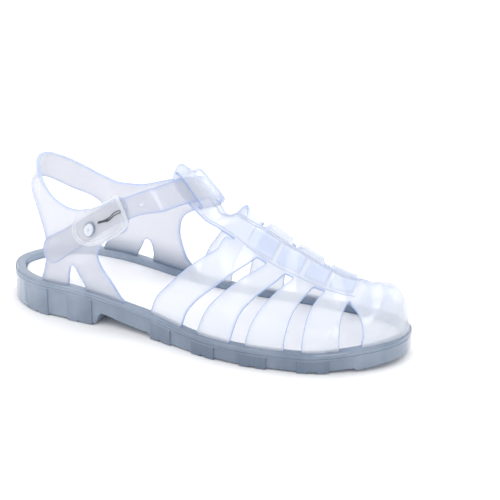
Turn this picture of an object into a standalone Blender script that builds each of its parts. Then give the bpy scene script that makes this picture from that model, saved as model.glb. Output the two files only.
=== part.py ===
"""Jelly sandal, right foot: clear moulded sole, white footbed, caged vamp with T-bar and
keeper, heel counter with sling and ankle strap, plate buckle with stud and prong.
Lengths are worked in millimetres and written to the meshes in metres.
+X to the toe, +Y to the inner (left) side, +Z up, the floor is z = 0."""
import bpy
import numpy as np
from mathutils.geometry import delaunay_2d_cdt
from mathutils import Vector

MM = 0.001

# Sizes that drive the shoe, in millimetres
SOLE_LENGTH = 258.0
HALF_BALL = 45.0          # largest half width of the sole, outer side
SOLE_HEIGHT = 21.8        # rim over the floor at the back of the heel
VAMP_HEIGHT = 67.5        # crest of the vamp over the floor at the first strap
WALL = 2.2                # wall of the moulded upper
GAP = 0.3                 # free space between two pieces
LIP = 2.8                 # height of the lip round the top of the sole
SHOULDER = 1.1            # rise of the rounded shoulder inside the lip
RIM_WIDTH = 6.6           # lip edge to the recess of the footbed
UPPER_INSET = 3.0         # lip edge to the outer face of the straps
FOOTBED_DROP = 3.1        # top of the footbed under the lip edge
FOOTBED_THICK = 2.0
TOE_SPRING = 4.4
LUG_DEPTH = 1.0
BLOCK_STEP = 0.8          # how far the side blocks stand out
SIDE_INSET = 0.2          # lip edge to the face of the side blocks
TREAD_EDGE = (1.2, 1.0)   # run and rise of the cut along the sole's lower edge
SHOULDER_RUN = 2.2        # lip edge to the top of the rounded shoulder
ARCH_HEIGHT = 8.4         # waist over the floor at the heel breast

# Sole outline: share of length, outer and inner half width as shares of HALF_BALL
HEEL_TIP_Y, TOE_TIP_Y = -0.095, 0.169
OUTLINE = (
    (0.015, 0.338, 0.176), (0.05, 0.591, 0.433), (0.12, 0.790, 0.655), (0.22, 0.820, 0.695),
    (0.33, 0.800, 0.722), (0.44, 0.833, 0.740), (0.55, 0.955, 0.830), (0.65, 1.000, 0.903),
    (0.75, 0.928, 0.948), (0.84, 0.784, 0.930), (0.91, 0.547, 0.820), (0.96, 0.296, 0.665),
    (0.99, 0.051, 0.450))
# Height of the lip edge: share of length, share of SOLE_HEIGHT
RIM_RISE = ((0.0, 0.915), (0.2, 0.975), (0.4, 0.725), (0.6, 0.515), (0.8, 0.50), (1.0, 0.69))
SMOOTH_TOE = 0.918        # ahead of this share of length the side has no step
# Underside of the waist: share of length, share of ARCH_HEIGHT
ARCH = ((0.284, 0.0), (0.30, 1.0), (0.354, 0.68), (0.409, 0.45), (0.436, 0.38))
# Thick side blocks with their lugs: start and end as shares of length
BLOCKS = ((0.088, 0.158), (0.212, 0.279), (0.437, 0.494), (0.554, 0.614), (0.676, 0.738),
          (0.805, 0.871))


def smooth(table, x, column=1):
    """Value of one column of a table at x, by a monotone cubic through its rows."""
    t = np.array([row[0] for row in table], float)
    v = np.array([row[column] for row in table], float)
    x = np.clip(np.asarray(x, float), t[0], t[-1])
    h, d = np.diff(t), np.diff(v) / np.diff(t)
    m = np.zeros(len(t))
    m[0], m[-1] = d[0], d[-1]
    inner = d[:-1] * d[1:] > 0
    mean = (h[:-1] + h[1:]) * 3.0 / ((2 * h[1:] + h[:-1]) / np.where(inner, d[:-1], 1.0)
                                    + (h[1:] + 2 * h[:-1]) / np.where(inner, d[1:], 1.0))
    m[1:-1] = np.where(inner, mean, 0.0)
    i = np.clip(np.searchsorted(t, x, side="right") - 1, 0, len(h) - 1)
    u = (x - t[i]) / h[i]
    return ((1 + 2 * u) * (1 - u) ** 2 * v[i] + u * (1 - u) ** 2 * h[i] * m[i]
            + u * u * (3 - 2 * u) * v[i + 1] - u * u * (1 - u) * h[i] * m[i + 1])


def spline(points, steps, closed=False):
    """Centripetal Catmull-Rom curve through the points, `steps` samples a span."""
    p = np.asarray(points, float)
    if closed:
        p = np.vstack([p[-1:], p, p[:2]])
    else:
        p = np.vstack([2 * p[:1] - p[1:2], p, 2 * p[-1:] - p[-2:-1]])
    out = []
    for a, b, c, d in zip(p[:-3], p[1:-2], p[2:-1], p[3:]):
        t0 = 0.0
        t1 = t0 + max(np.linalg.norm(b - a), 1e-9) ** 0.5
        t2 = t1 + max(np.linalg.norm(c - b), 1e-9) ** 0.5
        t3 = t2 + max(np.linalg.norm(d - c), 1e-9) ** 0.5
        t = np.linspace(t1, t2, steps, endpoint=False)[:, None]
        ab = (t1 - t) / (t1 - t0) * a + (t - t0) / (t1 - t0) * b
        bc = (t2 - t) / (t2 - t1) * b + (t - t1) / (t2 - t1) * c
        cd = (t3 - t) / (t3 - t2) * c + (t - t2) / (t3 - t2) * d
        abc = (t2 - t) / (t2 - t0) * ab + (t - t0) / (t2 - t0) * bc
        bcd = (t3 - t) / (t3 - t1) * bc + (t - t1) / (t3 - t1) * cd
        out.append((t2 - t) / (t2 - t1) * abc + (t - t1) / (t2 - t1) * bcd)
    if not closed:
        out.append(p[-2:-1])
    return np.vstack(out)


def sole_outline():
    """Dense closed outline of the lip edge, heel tip first, outer side next."""
    outer = [(s * SOLE_LENGTH, -a * HALF_BALL) for s, a, b in OUTLINE]
    inner = [(s * SOLE_LENGTH, b * HALF_BALL) for s, a, b in OUTLINE]
    tips = [(0.0, HEEL_TIP_Y * HALF_BALL)], [(SOLE_LENGTH, TOE_TIP_Y * HALF_BALL)]
    return spline(tips[0] + outer + tips[1] + inner[::-1], 24, closed=True)


EDGE = sole_outline()


def inset_curve(inset):
    """The outline moved inwards by `inset`."""
    d = np.roll(EDGE, -1, 0) - np.roll(EDGE, 1, 0)
    d /= np.linalg.norm(d, axis=1)[:, None]
    return EDGE + np.stack([-d[:, 1], d[:, 0]], 1) * inset


HALF = len(EDGE) // 2


def side_at(x, side, inset=0.0):
    """Point and inward normal of the outline at lengths x; side -1 outer, +1 inner."""
    run = np.arange(0, HALF + 1) if side < 0 else np.arange(len(EDGE), HALF - 1, -1) % len(EDGE)
    c = EDGE[run]
    at = np.interp(x, np.maximum.accumulate(c[:, 0]), np.arange(len(c)))
    nxt, prv = np.roll(EDGE, -1, 0), np.roll(EDGE, 1, 0)
    d = (nxt - prv)
    d /= np.linalg.norm(d, axis=1)[:, None]
    n = np.stack([-d[:, 1], d[:, 0]], 1)[run]
    lerp = lambda a: np.stack([np.interp(at, np.arange(len(c)), a[:, k]) for k in (0, 1)], -1)
    normal = lerp(n)
    normal /= np.linalg.norm(normal, axis=-1)[..., None]
    return lerp(c) + normal * np.asarray(inset)[..., None], normal


def rim_z(x):
    """Height of the lip edge over the floor at length x."""
    return smooth(RIM_RISE, np.asarray(x, float) / SOLE_LENGTH) * SOLE_HEIGHT


def on_block(s):
    return any(a <= s <= b for a, b in BLOCKS)


def under_z(s, block):
    """Underside of the sole at share s."""
    if ARCH[0][0] < s < ARCH[-1][0]:
        return float(smooth(ARCH, s)) * ARCH_HEIGHT
    lift = TOE_SPRING * max(0.0, (s - 0.80) / 0.20) ** 2
    return lift + (0.0 if block or s > SMOOTH_TOE else LUG_DEPTH)


def sole_stations():
    """Shares of length for the cross rows of the sole, with a pair at each block edge."""
    rows = [(s, on_block(s)) for s in (0.0, 0.002, 0.008, 0.018, 0.033, 0.055, 0.185, 0.33, 0.38,
                                       0.524, 0.645, 0.772, 0.90, 0.93, 0.95, 0.967, 0.982,
                                       0.992, 0.998, 1.0)]
    for a, b in BLOCKS:
        rows += [(a - 0.002, False), (a, True), ((2 * a + b) / 3, True), ((a + 2 * b) / 3, True),
                 (b, True), (b + 0.002, False)]
    rows += [(ARCH[1][0], False)]
    return sorted(rows)


def make_mesh(name, verts, faces):
    """Mesh in metres, with the origin at the bottom centre of the shoe's box."""
    centre = np.append((EDGE.min(0) + EDGE.max(0)) / 2, 0.0)
    mesh = bpy.data.meshes.new(name)
    mesh.from_pydata([tuple((np.asarray(v, float) - centre) * MM) for v in verts], [], faces)
    mesh.validate()
    mesh.update()
    return mesh


def ladder_body(rings, caps):
    """Closed body from rings with the same point count, each capped across by cross rows.
    `caps` holds a height function for the bottom and the top row fill."""
    count = len(rings[0])
    half = count // 2
    verts = [p for ring in rings for p in ring]
    faces = []
    for k in range(len(rings) - 1):
        a, b = k * count, (k + 1) * count
        for i in range(count):
            j = (i + 1) % count
            faces.append((a + i, a + j, b + j, b + i))
    shares = (0.25, 0.5, 0.75)
    for base, flip, fill in ((0, True, caps[0]), ((len(rings) - 1) * count, False, caps[1])):
        rows = []
        for i in range(1, half):
            p, q = np.array(verts[base + i]), np.array(verts[base + count - i])
            row = [base + i]
            for w in shares:
                m = p * (1 - w) + q * w
                m[2] += fill(m, w)
                row.append(len(verts))
                verts.append(m)
            rows.append(row + [base + count - i])
        for a, b in zip(rows[:-1], rows[1:]):
            for k in range(len(a) - 1):
                quad = (a[k], b[k], b[k + 1], a[k + 1])
                faces.append(quad[::-1] if flip else quad)
        for row, tip in ((rows[0], base), (rows[-1], base + half)):
            for k in range(len(row) - 1):
                tri = (tip, row[k], row[k + 1])
                last = tip != base
                faces.append(tri if last == flip else tri[::-1])
    return verts, faces


def sole_ring(rows, inset, height):
    """One closed ring round the sole; inset and height are called with (share, block)."""
    s = np.array([r[0] for r in rows])
    ins = np.array([inset(*r) for r in rows])
    z = np.array([height(*r) for r in rows])
    outer, _ = side_at(s * SOLE_LENGTH, -1, ins)
    inner, _ = side_at(s * SOLE_LENGTH, 1, ins)
    ring = [np.array([*outer[i], z[i]]) for i in range(len(rows))]
    ring += [np.array([*inner[i], z[i]]) for i in range(len(rows) - 2, 0, -1)]
    return ring


def lip(s):
    return float(rim_z(s * SOLE_LENGTH))


def outsole():
    rows = sole_stations()
    flush = lambda s: s < BLOCKS[0][0] - 0.003 or s > SMOOTH_TOE
    step = lambda s, b: SIDE_INSET + (0.0 if b or flush(s) else BLOCK_STEP)
    recess = FOOTBED_DROP + FOOTBED_THICK + GAP
    run, rise = TREAD_EDGE
    rings = [sole_ring(rows, lambda s, b: step(s, b) + run, under_z),
             sole_ring(rows, step, lambda s, b: under_z(s, b) + rise),
             sole_ring(rows, step, lambda s, b: lip(s) - LIP - 0.3),
             sole_ring(rows, lambda s, b: 0.0, lambda s, b: lip(s) - LIP),
             sole_ring(rows, lambda s, b: 0.0, lambda s, b: lip(s)),
             sole_ring(rows, lambda s, b: 0.3 * SHOULDER_RUN, lambda s, b: lip(s) + 0.55 * SHOULDER),
             sole_ring(rows, lambda s, b: SHOULDER_RUN, lambda s, b: lip(s) + SHOULDER),
             sole_ring(rows, lambda s, b: RIM_WIDTH, lambda s, b: lip(s) + SHOULDER),
             sole_ring(rows, lambda s, b: RIM_WIDTH, lambda s, b: lip(s) - recess)]
    return make_mesh("outsole", *ladder_body(rings, (lambda p, w: 0.0, lambda p, w: 0.0)))


def insole():
    rows = [r for r in sole_stations() if r[0] not in [a - 0.002 for a, b in BLOCKS]
            and r[0] not in [b + 0.002 for a, b in BLOCKS]]
    edge = RIM_WIDTH + GAP
    low = FOOTBED_DROP + FOOTBED_THICK
    rings = [sole_ring(rows, lambda s, b: edge, lambda s, b: lip(s) - low),
             sole_ring(rows, lambda s, b: edge, lambda s, b: lip(s) - FOOTBED_DROP - 0.4),
             sole_ring(rows, lambda s, b: edge + 0.5, lambda s, b: lip(s) - FOOTBED_DROP)]
    return make_mesh("insole", *ladder_body(rings, (lambda p, w: 0.0, lambda p, w: 0.0)))


# The vamp: a last surface drawn over a flat pattern. Pattern X runs along the crest and
# is 0 at DOME_X; ahead of it the pattern is a half disc that closes the toe. Pattern Y is
# 0 on the crest and PATTERN_HALF at the foot of the wall (outer side negative).
DOME_X = 0.862 * SOLE_LENGTH
PATTERN_HALF = 60.0
# Crest: share of length, share of HALF_BALL to the inner side, share of VAMP_HEIGHT
CREST = ((0.36, 0.16, 1.93), (0.40, 0.17, 1.76), (0.45, 0.20, 1.57), (0.496, 0.25, 1.34),
         (0.535, 0.30, 1.205), (0.58, 0.345, 1.105), (0.643, 0.38, 1.0), (0.705, 0.40, 0.868),
         (0.752, 0.40, 0.79), (0.783, 0.40, 0.73), (0.814, 0.40, 0.68), (0.845, 0.39, 0.645),
         (0.875, 0.38, 0.63))
# Fullness of the sections: share of length, outer rise and reach, inner rise and reach
FULLNESS = ((0.36, 0.42, 0.45, 0.50, 0.50), (0.496, 0.40, 0.45, 0.50, 0.50),
            (0.58, 0.35, 0.40, 0.50, 0.50), (0.643, 0.27, 0.32, 0.50, 0.50),
            (0.78, 0.28, 0.32, 0.50, 0.50), (0.86, 0.36, 0.40, 0.55, 0.55))
TOE_FULLNESS = (0.85, 0.68)
TOE_INSET = 1.4           # inset of the toe cap's foot at the very tip
# Behind the far rail the vamp falls away: depth, then the shares of the half pattern where
# the fall starts and ends and where it starts and ends to come back
INNER_FALL = (5.5, -0.105, 0.035, 0.10, 0.55)
FALL_SPAN = ((0.575, 0.63), (0.89, 0.97))    # shares of length where the fall comes and goes


def bezier_point(radius, height, rise, reach, share):
    """Distance out and height of a section at an arc share from the crest (0) to the foot."""
    u = np.linspace(0.0, 1.0, 41)[None, :]
    q = 1 - u
    out = (u ** 3 + 3 * u * u * q + 3 * u * q * q * reach[:, None]) * radius[:, None]
    up = (3 * u * u * q * rise[:, None] + 3 * u * q * q + q ** 3) * height[:, None]
    run = np.cumsum(np.hypot(np.diff(out, axis=1), np.diff(up, axis=1)), axis=1)
    run = np.hstack([np.zeros((len(run), 1)), run])
    goal = np.clip(share, 0, 1) * run[:, -1]
    k = np.clip((run < goal[:, None]).sum(1), 1, 40)
    i = np.arange(len(k))
    f = (goal - run[i, k - 1]) / (run[i, k] - run[i, k - 1])
    out_at = out[i, k - 1] * (1 - f) + out[i, k] * f
    up_at = up[i, k - 1] * (1 - f) + up[i, k] * f
    over = np.maximum(share - 1.0, 0.0) * run[:, -1]
    return out_at, up_at - over


def toe_radius():
    """Distance from the dome's pole to the foot line, for angles 0 (outer) to 180."""
    c = inset_curve(UPPER_INSET) - np.array([DOME_X, smooth(CREST, DOME_X / SOLE_LENGTH) * HALF_BALL])
    c = c[c[:, 0] > -8.0]
    angle = np.degrees(np.arctan2(c[:, 0], -c[:, 1]))
    order = np.argsort(angle)
    out = (UPPER_INSET - TOE_INSET) * np.clip(np.sin(np.radians(angle)), 0, 1) ** 2
    return angle[order], (np.hypot(c[:, 0], c[:, 1]) + out)[order]


TOE_ANGLE, TOE_RADIUS = toe_radius()


def foot_z(x):
    return rim_z(x) + SHOULDER + GAP


def ease(x):
    """Smooth step from 0 to 1."""
    x = np.clip(x, 0, 1)
    return x * x * (3 - 2 * x)


def inner_fall(s, v):
    """How far the vamp lies under the last behind its far rail."""
    depth, start, end, back, last = INNER_FALL
    (a, b), (c, d) = FALL_SPAN
    across = ease((v - start) / (end - start)) * (1 - ease((v - back) / (last - back)))
    return depth * across * ease((s - a) / (b - a)) * (1 - ease((s - c) / (d - c)))


def vamp(X, Y):
    """Points of the outer vamp surface for pattern points."""
    X, Y = np.atleast_1d(np.asarray(X, float)), np.atleast_1d(np.asarray(Y, float))
    outer = Y < 0
    # sections behind the dome
    x = np.minimum(DOME_X + X, DOME_X)
    s = x / SOLE_LENGTH
    yc, zc = smooth(CREST, s) * HALF_BALL, smooth(CREST, s, 2) * VAMP_HEIGHT
    foot = np.where(outer, side_at(x, -1, UPPER_INSET)[0][:, 1], side_at(x, 1, UPPER_INSET)[0][:, 1])
    radius, z0 = np.abs(foot - yc), foot_z(x)
    rise = np.where(outer, smooth(FULLNESS, s, 1), smooth(FULLNESS, s, 3))
    reach = np.where(outer, smooth(FULLNESS, s, 2), smooth(FULLNESS, s, 4))
    share = np.abs(Y) / PATTERN_HALF
    way = np.stack([np.zeros_like(x), np.where(outer, -1.0, 1.0)], 1)
    # dome ahead of the pole
    dome = X > 0
    angle = np.degrees(np.arctan2(np.maximum(X, 0), -Y))
    r = np.interp(angle, TOE_ANGLE, TOE_RADIUS)
    blend = np.clip(np.sin(np.radians(angle)), 0, 1) ** 1.5
    radius = np.where(dome, r, radius)
    share = np.where(dome, np.hypot(X, Y) / PATTERN_HALF, share)
    way = np.where(dome[:, None], np.stack([np.sin(np.radians(angle)), -np.cos(np.radians(angle))], 1), way)
    rise = np.where(dome, rise * (1 - blend) + TOE_FULLNESS[0] * blend, rise)
    reach = np.where(dome, reach * (1 - blend) + TOE_FULLNESS[1] * blend, reach)
    z0 = np.where(dome, foot_z(np.minimum(x + way[:, 0] * r, SOLE_LENGTH)), z0)
    out, up = bezier_point(radius, zc - z0, rise, reach, share)
    up = up - inner_fall((DOME_X + X) / SOLE_LENGTH, Y / PATTERN_HALF)
    return np.stack([x + way[:, 0] * out, yc + way[:, 1] * out, z0 + up], 1)


# The ankle surface: rays round a centre from the rim (H = 0) to the top line (H = 1).
# T is the turn in degrees from the back of the heel, outer side negative.
ANKLE_X, ANKLE_Y = 0.248 * SOLE_LENGTH, -0.078 * HALF_BALL
# Top line: turn, radius as a share of SOLE_LENGTH, height as a share of VAMP_HEIGHT
TOP_LINE = ((0, 0.172, 1.376), (5, 0.1713, 1.373), (20, 0.1585, 1.315), (38, 0.1445, 1.225),
            (58, 0.130, 1.125), (80, 0.1155, 1.07), (105, 0.1143, 1.104), (125, 0.124, 1.178), (145, 0.149, 1.274),
            (165, 0.182, 1.363), (180, 0.1977, 1.40))
ANKLE_BULGE = 2.0
FRONT_REACH = 0.457       # foot of the surface ahead of the instep, share of SOLE_LENGTH
# The instep is fuller on the inner side: turn, spread in degrees, share of SOLE_LENGTH
INSTEP_SKEW = (166.0, 14.0, 0.0505)


def base_radius():
    c = inset_curve(UPPER_INSET)
    c = c[c[:, 0] < 0.62 * SOLE_LENGTH] - np.array([ANKLE_X, ANKLE_Y])
    turn = np.degrees(np.arctan2(c[:, 1], -c[:, 0]))
    order = np.argsort(turn)
    t, r = turn[order], np.hypot(c[:, 0], c[:, 1])[order]
    front = FRONT_REACH * SOLE_LENGTH
    return np.concatenate([[-180.0], t, [180.0]]), np.concatenate([[front], r, [front]])


BASE_TURN, BASE_RADIUS = base_radius()


def ankle(T, H):
    """Points of the outer ankle surface."""
    T, H = np.atleast_1d(np.asarray(T, float)), np.atleast_1d(np.asarray(H, float))
    turn = (T + 180.0) % 360.0 - 180.0
    way = np.stack([-np.cos(np.radians(T)), np.sin(np.radians(T))], 1)
    r0 = np.interp(turn, BASE_TURN, BASE_RADIUS)
    r1 = smooth(TOP_LINE, np.abs(turn)) * SOLE_LENGTH
    x0 = np.clip(ANKLE_X + way[:, 0] * r0, 0, SOLE_LENGTH)
    z0, z1 = foot_z(x0), smooth(TOP_LINE, np.abs(turn), 2) * VAMP_HEIGHT
    off = (T - INSTEP_SKEW[0] + 180.0) % 360.0 - 180.0
    r = r0 + (r1 - r0) * H + ANKLE_BULGE * 4 * np.clip(H, 0, 1) * (1 - np.clip(H, 0, 1))
    r = r + INSTEP_SKEW[2] * SOLE_LENGTH * np.exp(-(off / INSTEP_SKEW[1]) ** 2)
    return np.stack([ANKLE_X + way[:, 0] * r, ANKLE_Y + way[:, 1] * r, z0 + (z1 - z0) * H], 1)


def normals(surface, a, b, step):
    """Outward unit normals of a surface function by finite differences."""
    da = surface(a + step, b) - surface(a - step, b)
    db = surface(a, b + step) - surface(a, b - step)
    n = np.cross(da, db)
    return n / np.maximum(np.linalg.norm(n, axis=1), 1e-9)[:, None]


def vamp_normals(X, Y):
    return normals(vamp, X, Y, 0.5)


def ankle_normals(T, H):
    """Outward normals of the ankle surface (T in degrees, H in shares)."""
    da = ankle(T + 1.0, H) - ankle(T - 1.0, H)
    db = ankle(T, H + 0.01) - ankle(T, H - 0.01)
    n = np.cross(db, da)
    return n / np.maximum(np.linalg.norm(n, axis=1), 1e-9)[:, None]


def resample(loop, spacing):
    """Points along a closed polygon, corners kept, no side longer than `spacing`."""
    out = []
    for a, b in zip(loop, np.roll(loop, -1, 0)):
        n = max(1, int(np.ceil(np.linalg.norm(b - a) / spacing)))
        out += [a + (b - a) * k / n for k in range(n)]
    return np.array(out)


def inside(loop, pts):
    """Even-odd test of points against one closed polygon."""
    x, y = pts[:, 0], pts[:, 1]
    hit = np.zeros(len(pts), bool)
    for (ax, ay), (bx, by) in zip(loop, np.roll(loop, -1, 0)):
        if ay != by:
            hit ^= ((ay > y) != (by > y)) & (x < (bx - ax) * (y - ay) / (by - ay) + ax)
    return hit


def edge_distance(loop, pts):
    best = np.full(len(pts), 1e9)
    for a, b in zip(loop, np.roll(loop, -1, 0)):
        d = b - a
        t = np.clip(((pts - a) @ d) / max(d @ d, 1e-12), 0, 1)
        best = np.minimum(best, np.linalg.norm(pts - (a + t[:, None] * d), axis=1))
    return best


def triangulate(outline, creases, spacing, fill):
    """Triangles of a flat pattern bounded by `outline`, with crease loops kept as edges."""
    loops = [resample(outline, spacing)] + [resample(c, spacing) for c in creases]
    lo, hi = outline.min(0), outline.max(0)
    gx = np.arange(lo[0], hi[0] + fill, fill)
    gy = np.arange(lo[1], hi[1] + fill, fill * 0.866)
    grid = np.array([(x + (fill / 2 if j % 2 else 0.0), y) for j, y in enumerate(gy) for x in gx])
    keep = inside(outline, grid) & (edge_distance(outline, grid) > fill * 0.45)
    for c in creases:
        keep &= edge_distance(c, grid) > fill * 0.3
    verts, edges = [], []
    for loop in loops:
        base = len(verts)
        verts += [Vector(p) for p in loop]
        edges += [(base + i, base + (i + 1) % len(loop)) for i in range(len(loop))]
    verts += [Vector(p) for p in grid[keep]]
    flat, _, tris, *_ = delaunay_2d_cdt(verts, edges, [], 0, 1e-4)
    flat, tris = np.array([tuple(p) for p in flat]), np.array([tuple(t) for t in tris])
    a, b, c = flat[tris[:, 0]], flat[tris[:, 1]], flat[tris[:, 2]]
    area = (b[:, 0] - a[:, 0]) * (c[:, 1] - a[:, 1]) - (b[:, 1] - a[:, 1]) * (c[:, 0] - a[:, 0])
    tris = tris[inside(outline, (a + b + c) / 3) & (np.abs(area) > 1e-3)]
    used, index = np.unique(tris, return_inverse=True)
    return flat[used], index.reshape(-1, 3)


def shell(name, flat, tris, outer, inner):
    """Closed body from a triangulated pattern and its outer and inner points."""
    n = len(flat)
    count = {}
    for t in tris:
        for a, b in ((t[0], t[1]), (t[1], t[2]), (t[2], t[0])):
            count[(a, b)] = count.get((a, b), 0) + 1
    faces = [tuple(t) for t in tris] + [(t[2] + n, t[1] + n, t[0] + n) for t in tris]
    faces += [(b, a, a + n, b + n) for a, b in count if (b, a) not in count]
    verts = np.vstack([outer, inner])
    size = sum(np.dot(verts[f[0]], np.cross(verts[f[k]], verts[f[k + 1]]))
               for f in faces for k in range(1, len(f) - 1))
    if size < 0:
        faces = [f[::-1] for f in faces]
    return make_mesh(name, verts, [tuple(int(i) for i in f) for f in faces])


# Outer straps of the vamp: arc share from the crest, then rear and front edge as shares of length
STRAPS = (
    ((-1.00, 0.428, 0.518), (-0.90, 0.446, 0.531), (-0.80, 0.472, 0.552), (-0.67, 0.505, 0.587),
     (-0.53, 0.541, 0.619), (-0.42, 0.571, 0.643)),
    ((-1.00, 0.560, 0.648), (-0.90, 0.572, 0.653), (-0.80, 0.585, 0.658), (-0.67, 0.612, 0.675),
     (-0.53, 0.642, 0.700), (-0.45, 0.661, 0.713)),
    ((-1.00, 0.684, 0.773), (-0.86, 0.688, 0.769), (-0.70, 0.700, 0.769), (-0.56, 0.717, 0.775),
     (-0.45, 0.732, 0.783)),
    ((-1.00, 0.811, 0.897), (-0.83, 0.805, 0.884), (-0.67, 0.801, 0.875), (-0.55, 0.803, 0.872),
     (-0.45, 0.808, 0.874)))
# Rear edge of the toe cap, outer side
CAP_REAR = ((-0.88, 0.957), (-0.80, 0.953), (-0.71, 0.941), (-0.61, 0.922), (-0.54, 0.904),
            (-0.485, 0.886))
SPINE_OUTER = ((0.468, -0.248), (0.510, -0.263), (0.560, -0.288), (0.600, -0.303), (0.655, -0.350),
               (0.679, -0.360), (0.723, -0.368), (0.743, -0.372), (0.789, -0.368), (0.816, -0.368),
               (0.876, -0.430))
TAB = ((0.485, -0.020), (0.473, -0.050), (0.457, -0.088), (0.450, -0.120), (0.447, -0.160),
       (0.446, -0.200), (0.452, -0.228))
SPINE_INNER = ((0.500, 0.020), (0.520, 0.030), (0.545, 0.000), (0.565, -0.050), (0.585, -0.090),
               (0.600, -0.105))
# Roots of the inner straps: shift of rear and front edge to the toe, share of length
INNER_SHIFT = ((0.020, -0.013), (-0.019, -0.008), (-0.015, 0.0), (-0.011, -0.006))
CAP_SHIFT = 0.005         # the same for the rear edge of the toe cap
SLOT_SLANT = 0.003        # slant of the inner slots towards the spine, share of length
INNER_ROOT = -0.10        # arc share of the spine's inner edge
# Woven blocks on the spine: start and end share of length
PLAITS = ((0.626, 0.684), (0.697, 0.749), (0.763, 0.808), (0.822, 0.874))
PLAIT_RISE = 1.2
LOOP_RISE = 2.4
LOOP_REACH = (-0.100, -0.055)     # arc shares of the loops that stand behind the far rail
LOOP_INSET = 0.004        # side of a strap to the side of its loop, share of length
RAMP, LOOP_RAMP = 0.6, 3.0        # slopes at the foot of a plait and along a loop's strap
# Spacing of the flat patterns: along the edges and inside
CAGE_GRID, COUNTER_GRID, PLATE_GRID = (3.6, 5.4), (3.6, 5.2), (2.6, 4.5)


def pattern(rows):
    """Rows of (share of length, arc share) as pattern points in millimetres."""
    out = []
    for s, v in rows:
        x, y = s * SOLE_LENGTH - DOME_X, v * PATTERN_HALF
        fit = min(1.0, PATTERN_HALF / max(np.hypot(x, y), 1e-6)) if x > 0 else 1.0
        out.append((x * fit, y * fit))
    return out


def cage_outline():
    pts = pattern(SPINE_OUTER[:4])
    for k, strap in enumerate(STRAPS):
        pts += pattern([(rear, v) for v, rear, front in strap[::-1]])
        pts += pattern([(front, v) for v, rear, front in strap])
        if k < 3:
            pts += pattern([r for r in SPINE_OUTER if strap[-1][2] < r[0] < STRAPS[k + 1][-1][1] + 0.03
                            and r[0] > 0.65][:2])
    pts += pattern([SPINE_OUTER[-1]])
    pts += pattern([(s, v) for v, s in CAP_REAR[::-1]])
    # foot of the toe cap round the half disc
    a0 = np.degrees(np.arctan2(pattern([(CAP_REAR[0][1], 0)])[0][0], -CAP_REAR[0][0] * PATTERN_HALF))
    a1 = 180.0 - a0
    for a in np.linspace(a0, a1, 15):
        pts.append((PATTERN_HALF * np.sin(np.radians(a)), -PATTERN_HALF * np.cos(np.radians(a))))
    # inner side, toe to heel
    span = (1.0 - INNER_ROOT) / (1.0 - 0.368)
    turn = lambda v: INNER_ROOT + (-v - 0.368) * span
    pts += pattern([(s + CAP_SHIFT, turn(v)) for v, s in CAP_REAR[1:]])
    pts += pattern([(SPINE_OUTER[-1][0] + SLOT_SLANT, INNER_ROOT + 0.03)])
    for k in (3, 2, 1, 0):
        strap = STRAPS[k]
        share = lambda v: 0.3 + 0.7 * (1 + v) / 0.6
        rear_shift, front_shift = INNER_SHIFT[k]
        pts += pattern([(front + front_shift * share(v), turn(v)) for v, rear, front in strap[::-1]])
        pts += pattern([(rear + rear_shift * share(v), turn(v)) for v, rear, front in strap])
        if k:
            pts += pattern([(strap[-1][1] + rear_shift + SLOT_SLANT, INNER_ROOT),
                            (STRAPS[k - 1][-1][2] + INNER_SHIFT[k - 1][1] + SLOT_SLANT, INNER_ROOT)])
    pts += pattern(SPINE_INNER[::-1]) + pattern(TAB)
    return np.array(pts)


# Counter with the sling and the ankle strap: turn in degrees and share of height
COUNTER = (
    # outer front leg, from its foot up to the tab under the strap
    (-136.0, 0.0), (-132.0, 0.035), (-124.0, 0.18), (-118.0, 0.27), (-113.5, 0.365), (-111.5, 0.45),
    (-113.0, 0.53), (-118.5, 0.60), (-128.0, 0.655), (-138.0, 0.695), (-138.0, 0.99),
    (-120.0, 1.0), (-99.0, 1.0), (-80.0, 1.0), (-60.0, 1.0), (-40.0, 1.0), (-20.0, 1.0), (0.0, 1.0),
    (20.0, 0.99), (38.0, 0.97), (58.0, 0.96), (80.0, 0.965), (100.0, 0.95), (120.0, 0.93),
    (140.0, 0.925), (155.0, 0.945), (168.0, 0.975), (180.0, 0.985), (188.0, 0.985), (203.0, 0.985),
    (215.0, 0.988), (226.0, 0.995), (238.0, 0.985), (252.0, 0.955), (264.0, 0.90), (276.0, 0.83),
    (291.0, 0.70), (303.5, 0.56), (306.5, 0.51), (308.0, 0.445), (308.0, 0.375), (306.5, 0.315),
    (302.5, 0.275), (298.5, 0.268), (283.0, 0.42), (265.0, 0.572), (248.0, 0.685), (233.0, 0.76),
    (219.0, 0.797), (207.0, 0.825), (195.0, 0.835), (184.0, 0.835), (175.0, 0.84), (165.0, 0.80),
    (157.0, 0.72), (151.0, 0.66), (146.0, 0.60), (142.5, 0.53), (140.5, 0.45), (139.5, 0.38),
    (139.5, 0.28), (140.5, 0.15), (143.0, 0.0),
    (117.0, 0.0), (116.5, 0.09), (115.5, 0.16), (113.5, 0.225), (110.0, 0.25), (106.5, 0.22),
    (103.0, 0.13), (99.5, 0.05), (96.5, 0.0),
    (59.0, 0.0), (63.0, 0.14), (62.5, 0.30), (61.0, 0.45), (58.5, 0.555), (53.0, 0.62),
    (45.0, 0.645), (36.0, 0.66), (28.0, 0.685), (18.0, 0.73), (9.0, 0.76), (-2.0, 0.77),
    (-14.0, 0.775), (-25.0, 0.77), (-35.0, 0.745), (-43.5, 0.665), (-49.0, 0.57), (-51.5, 0.46),
    (-51.5, 0.29), (-49.0, 0.13), (-47.0, 0.0),
    (-71.0, 0.0), (-75.0, 0.13), (-77.0, 0.22), (-79.0, 0.275), (-81.5, 0.29), (-84.5, 0.255),
    (-88.5, 0.17), (-93.5, 0.075), (-98.0, 0.0))
TURN_MM, RISE_MM = 0.62, 68.0     # pattern millimetres for a degree and for the full height
STRAP_THICK = 2.0
LAP_GAP = 0.7             # free space where the strap runs over a panel or through the keeper
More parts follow.
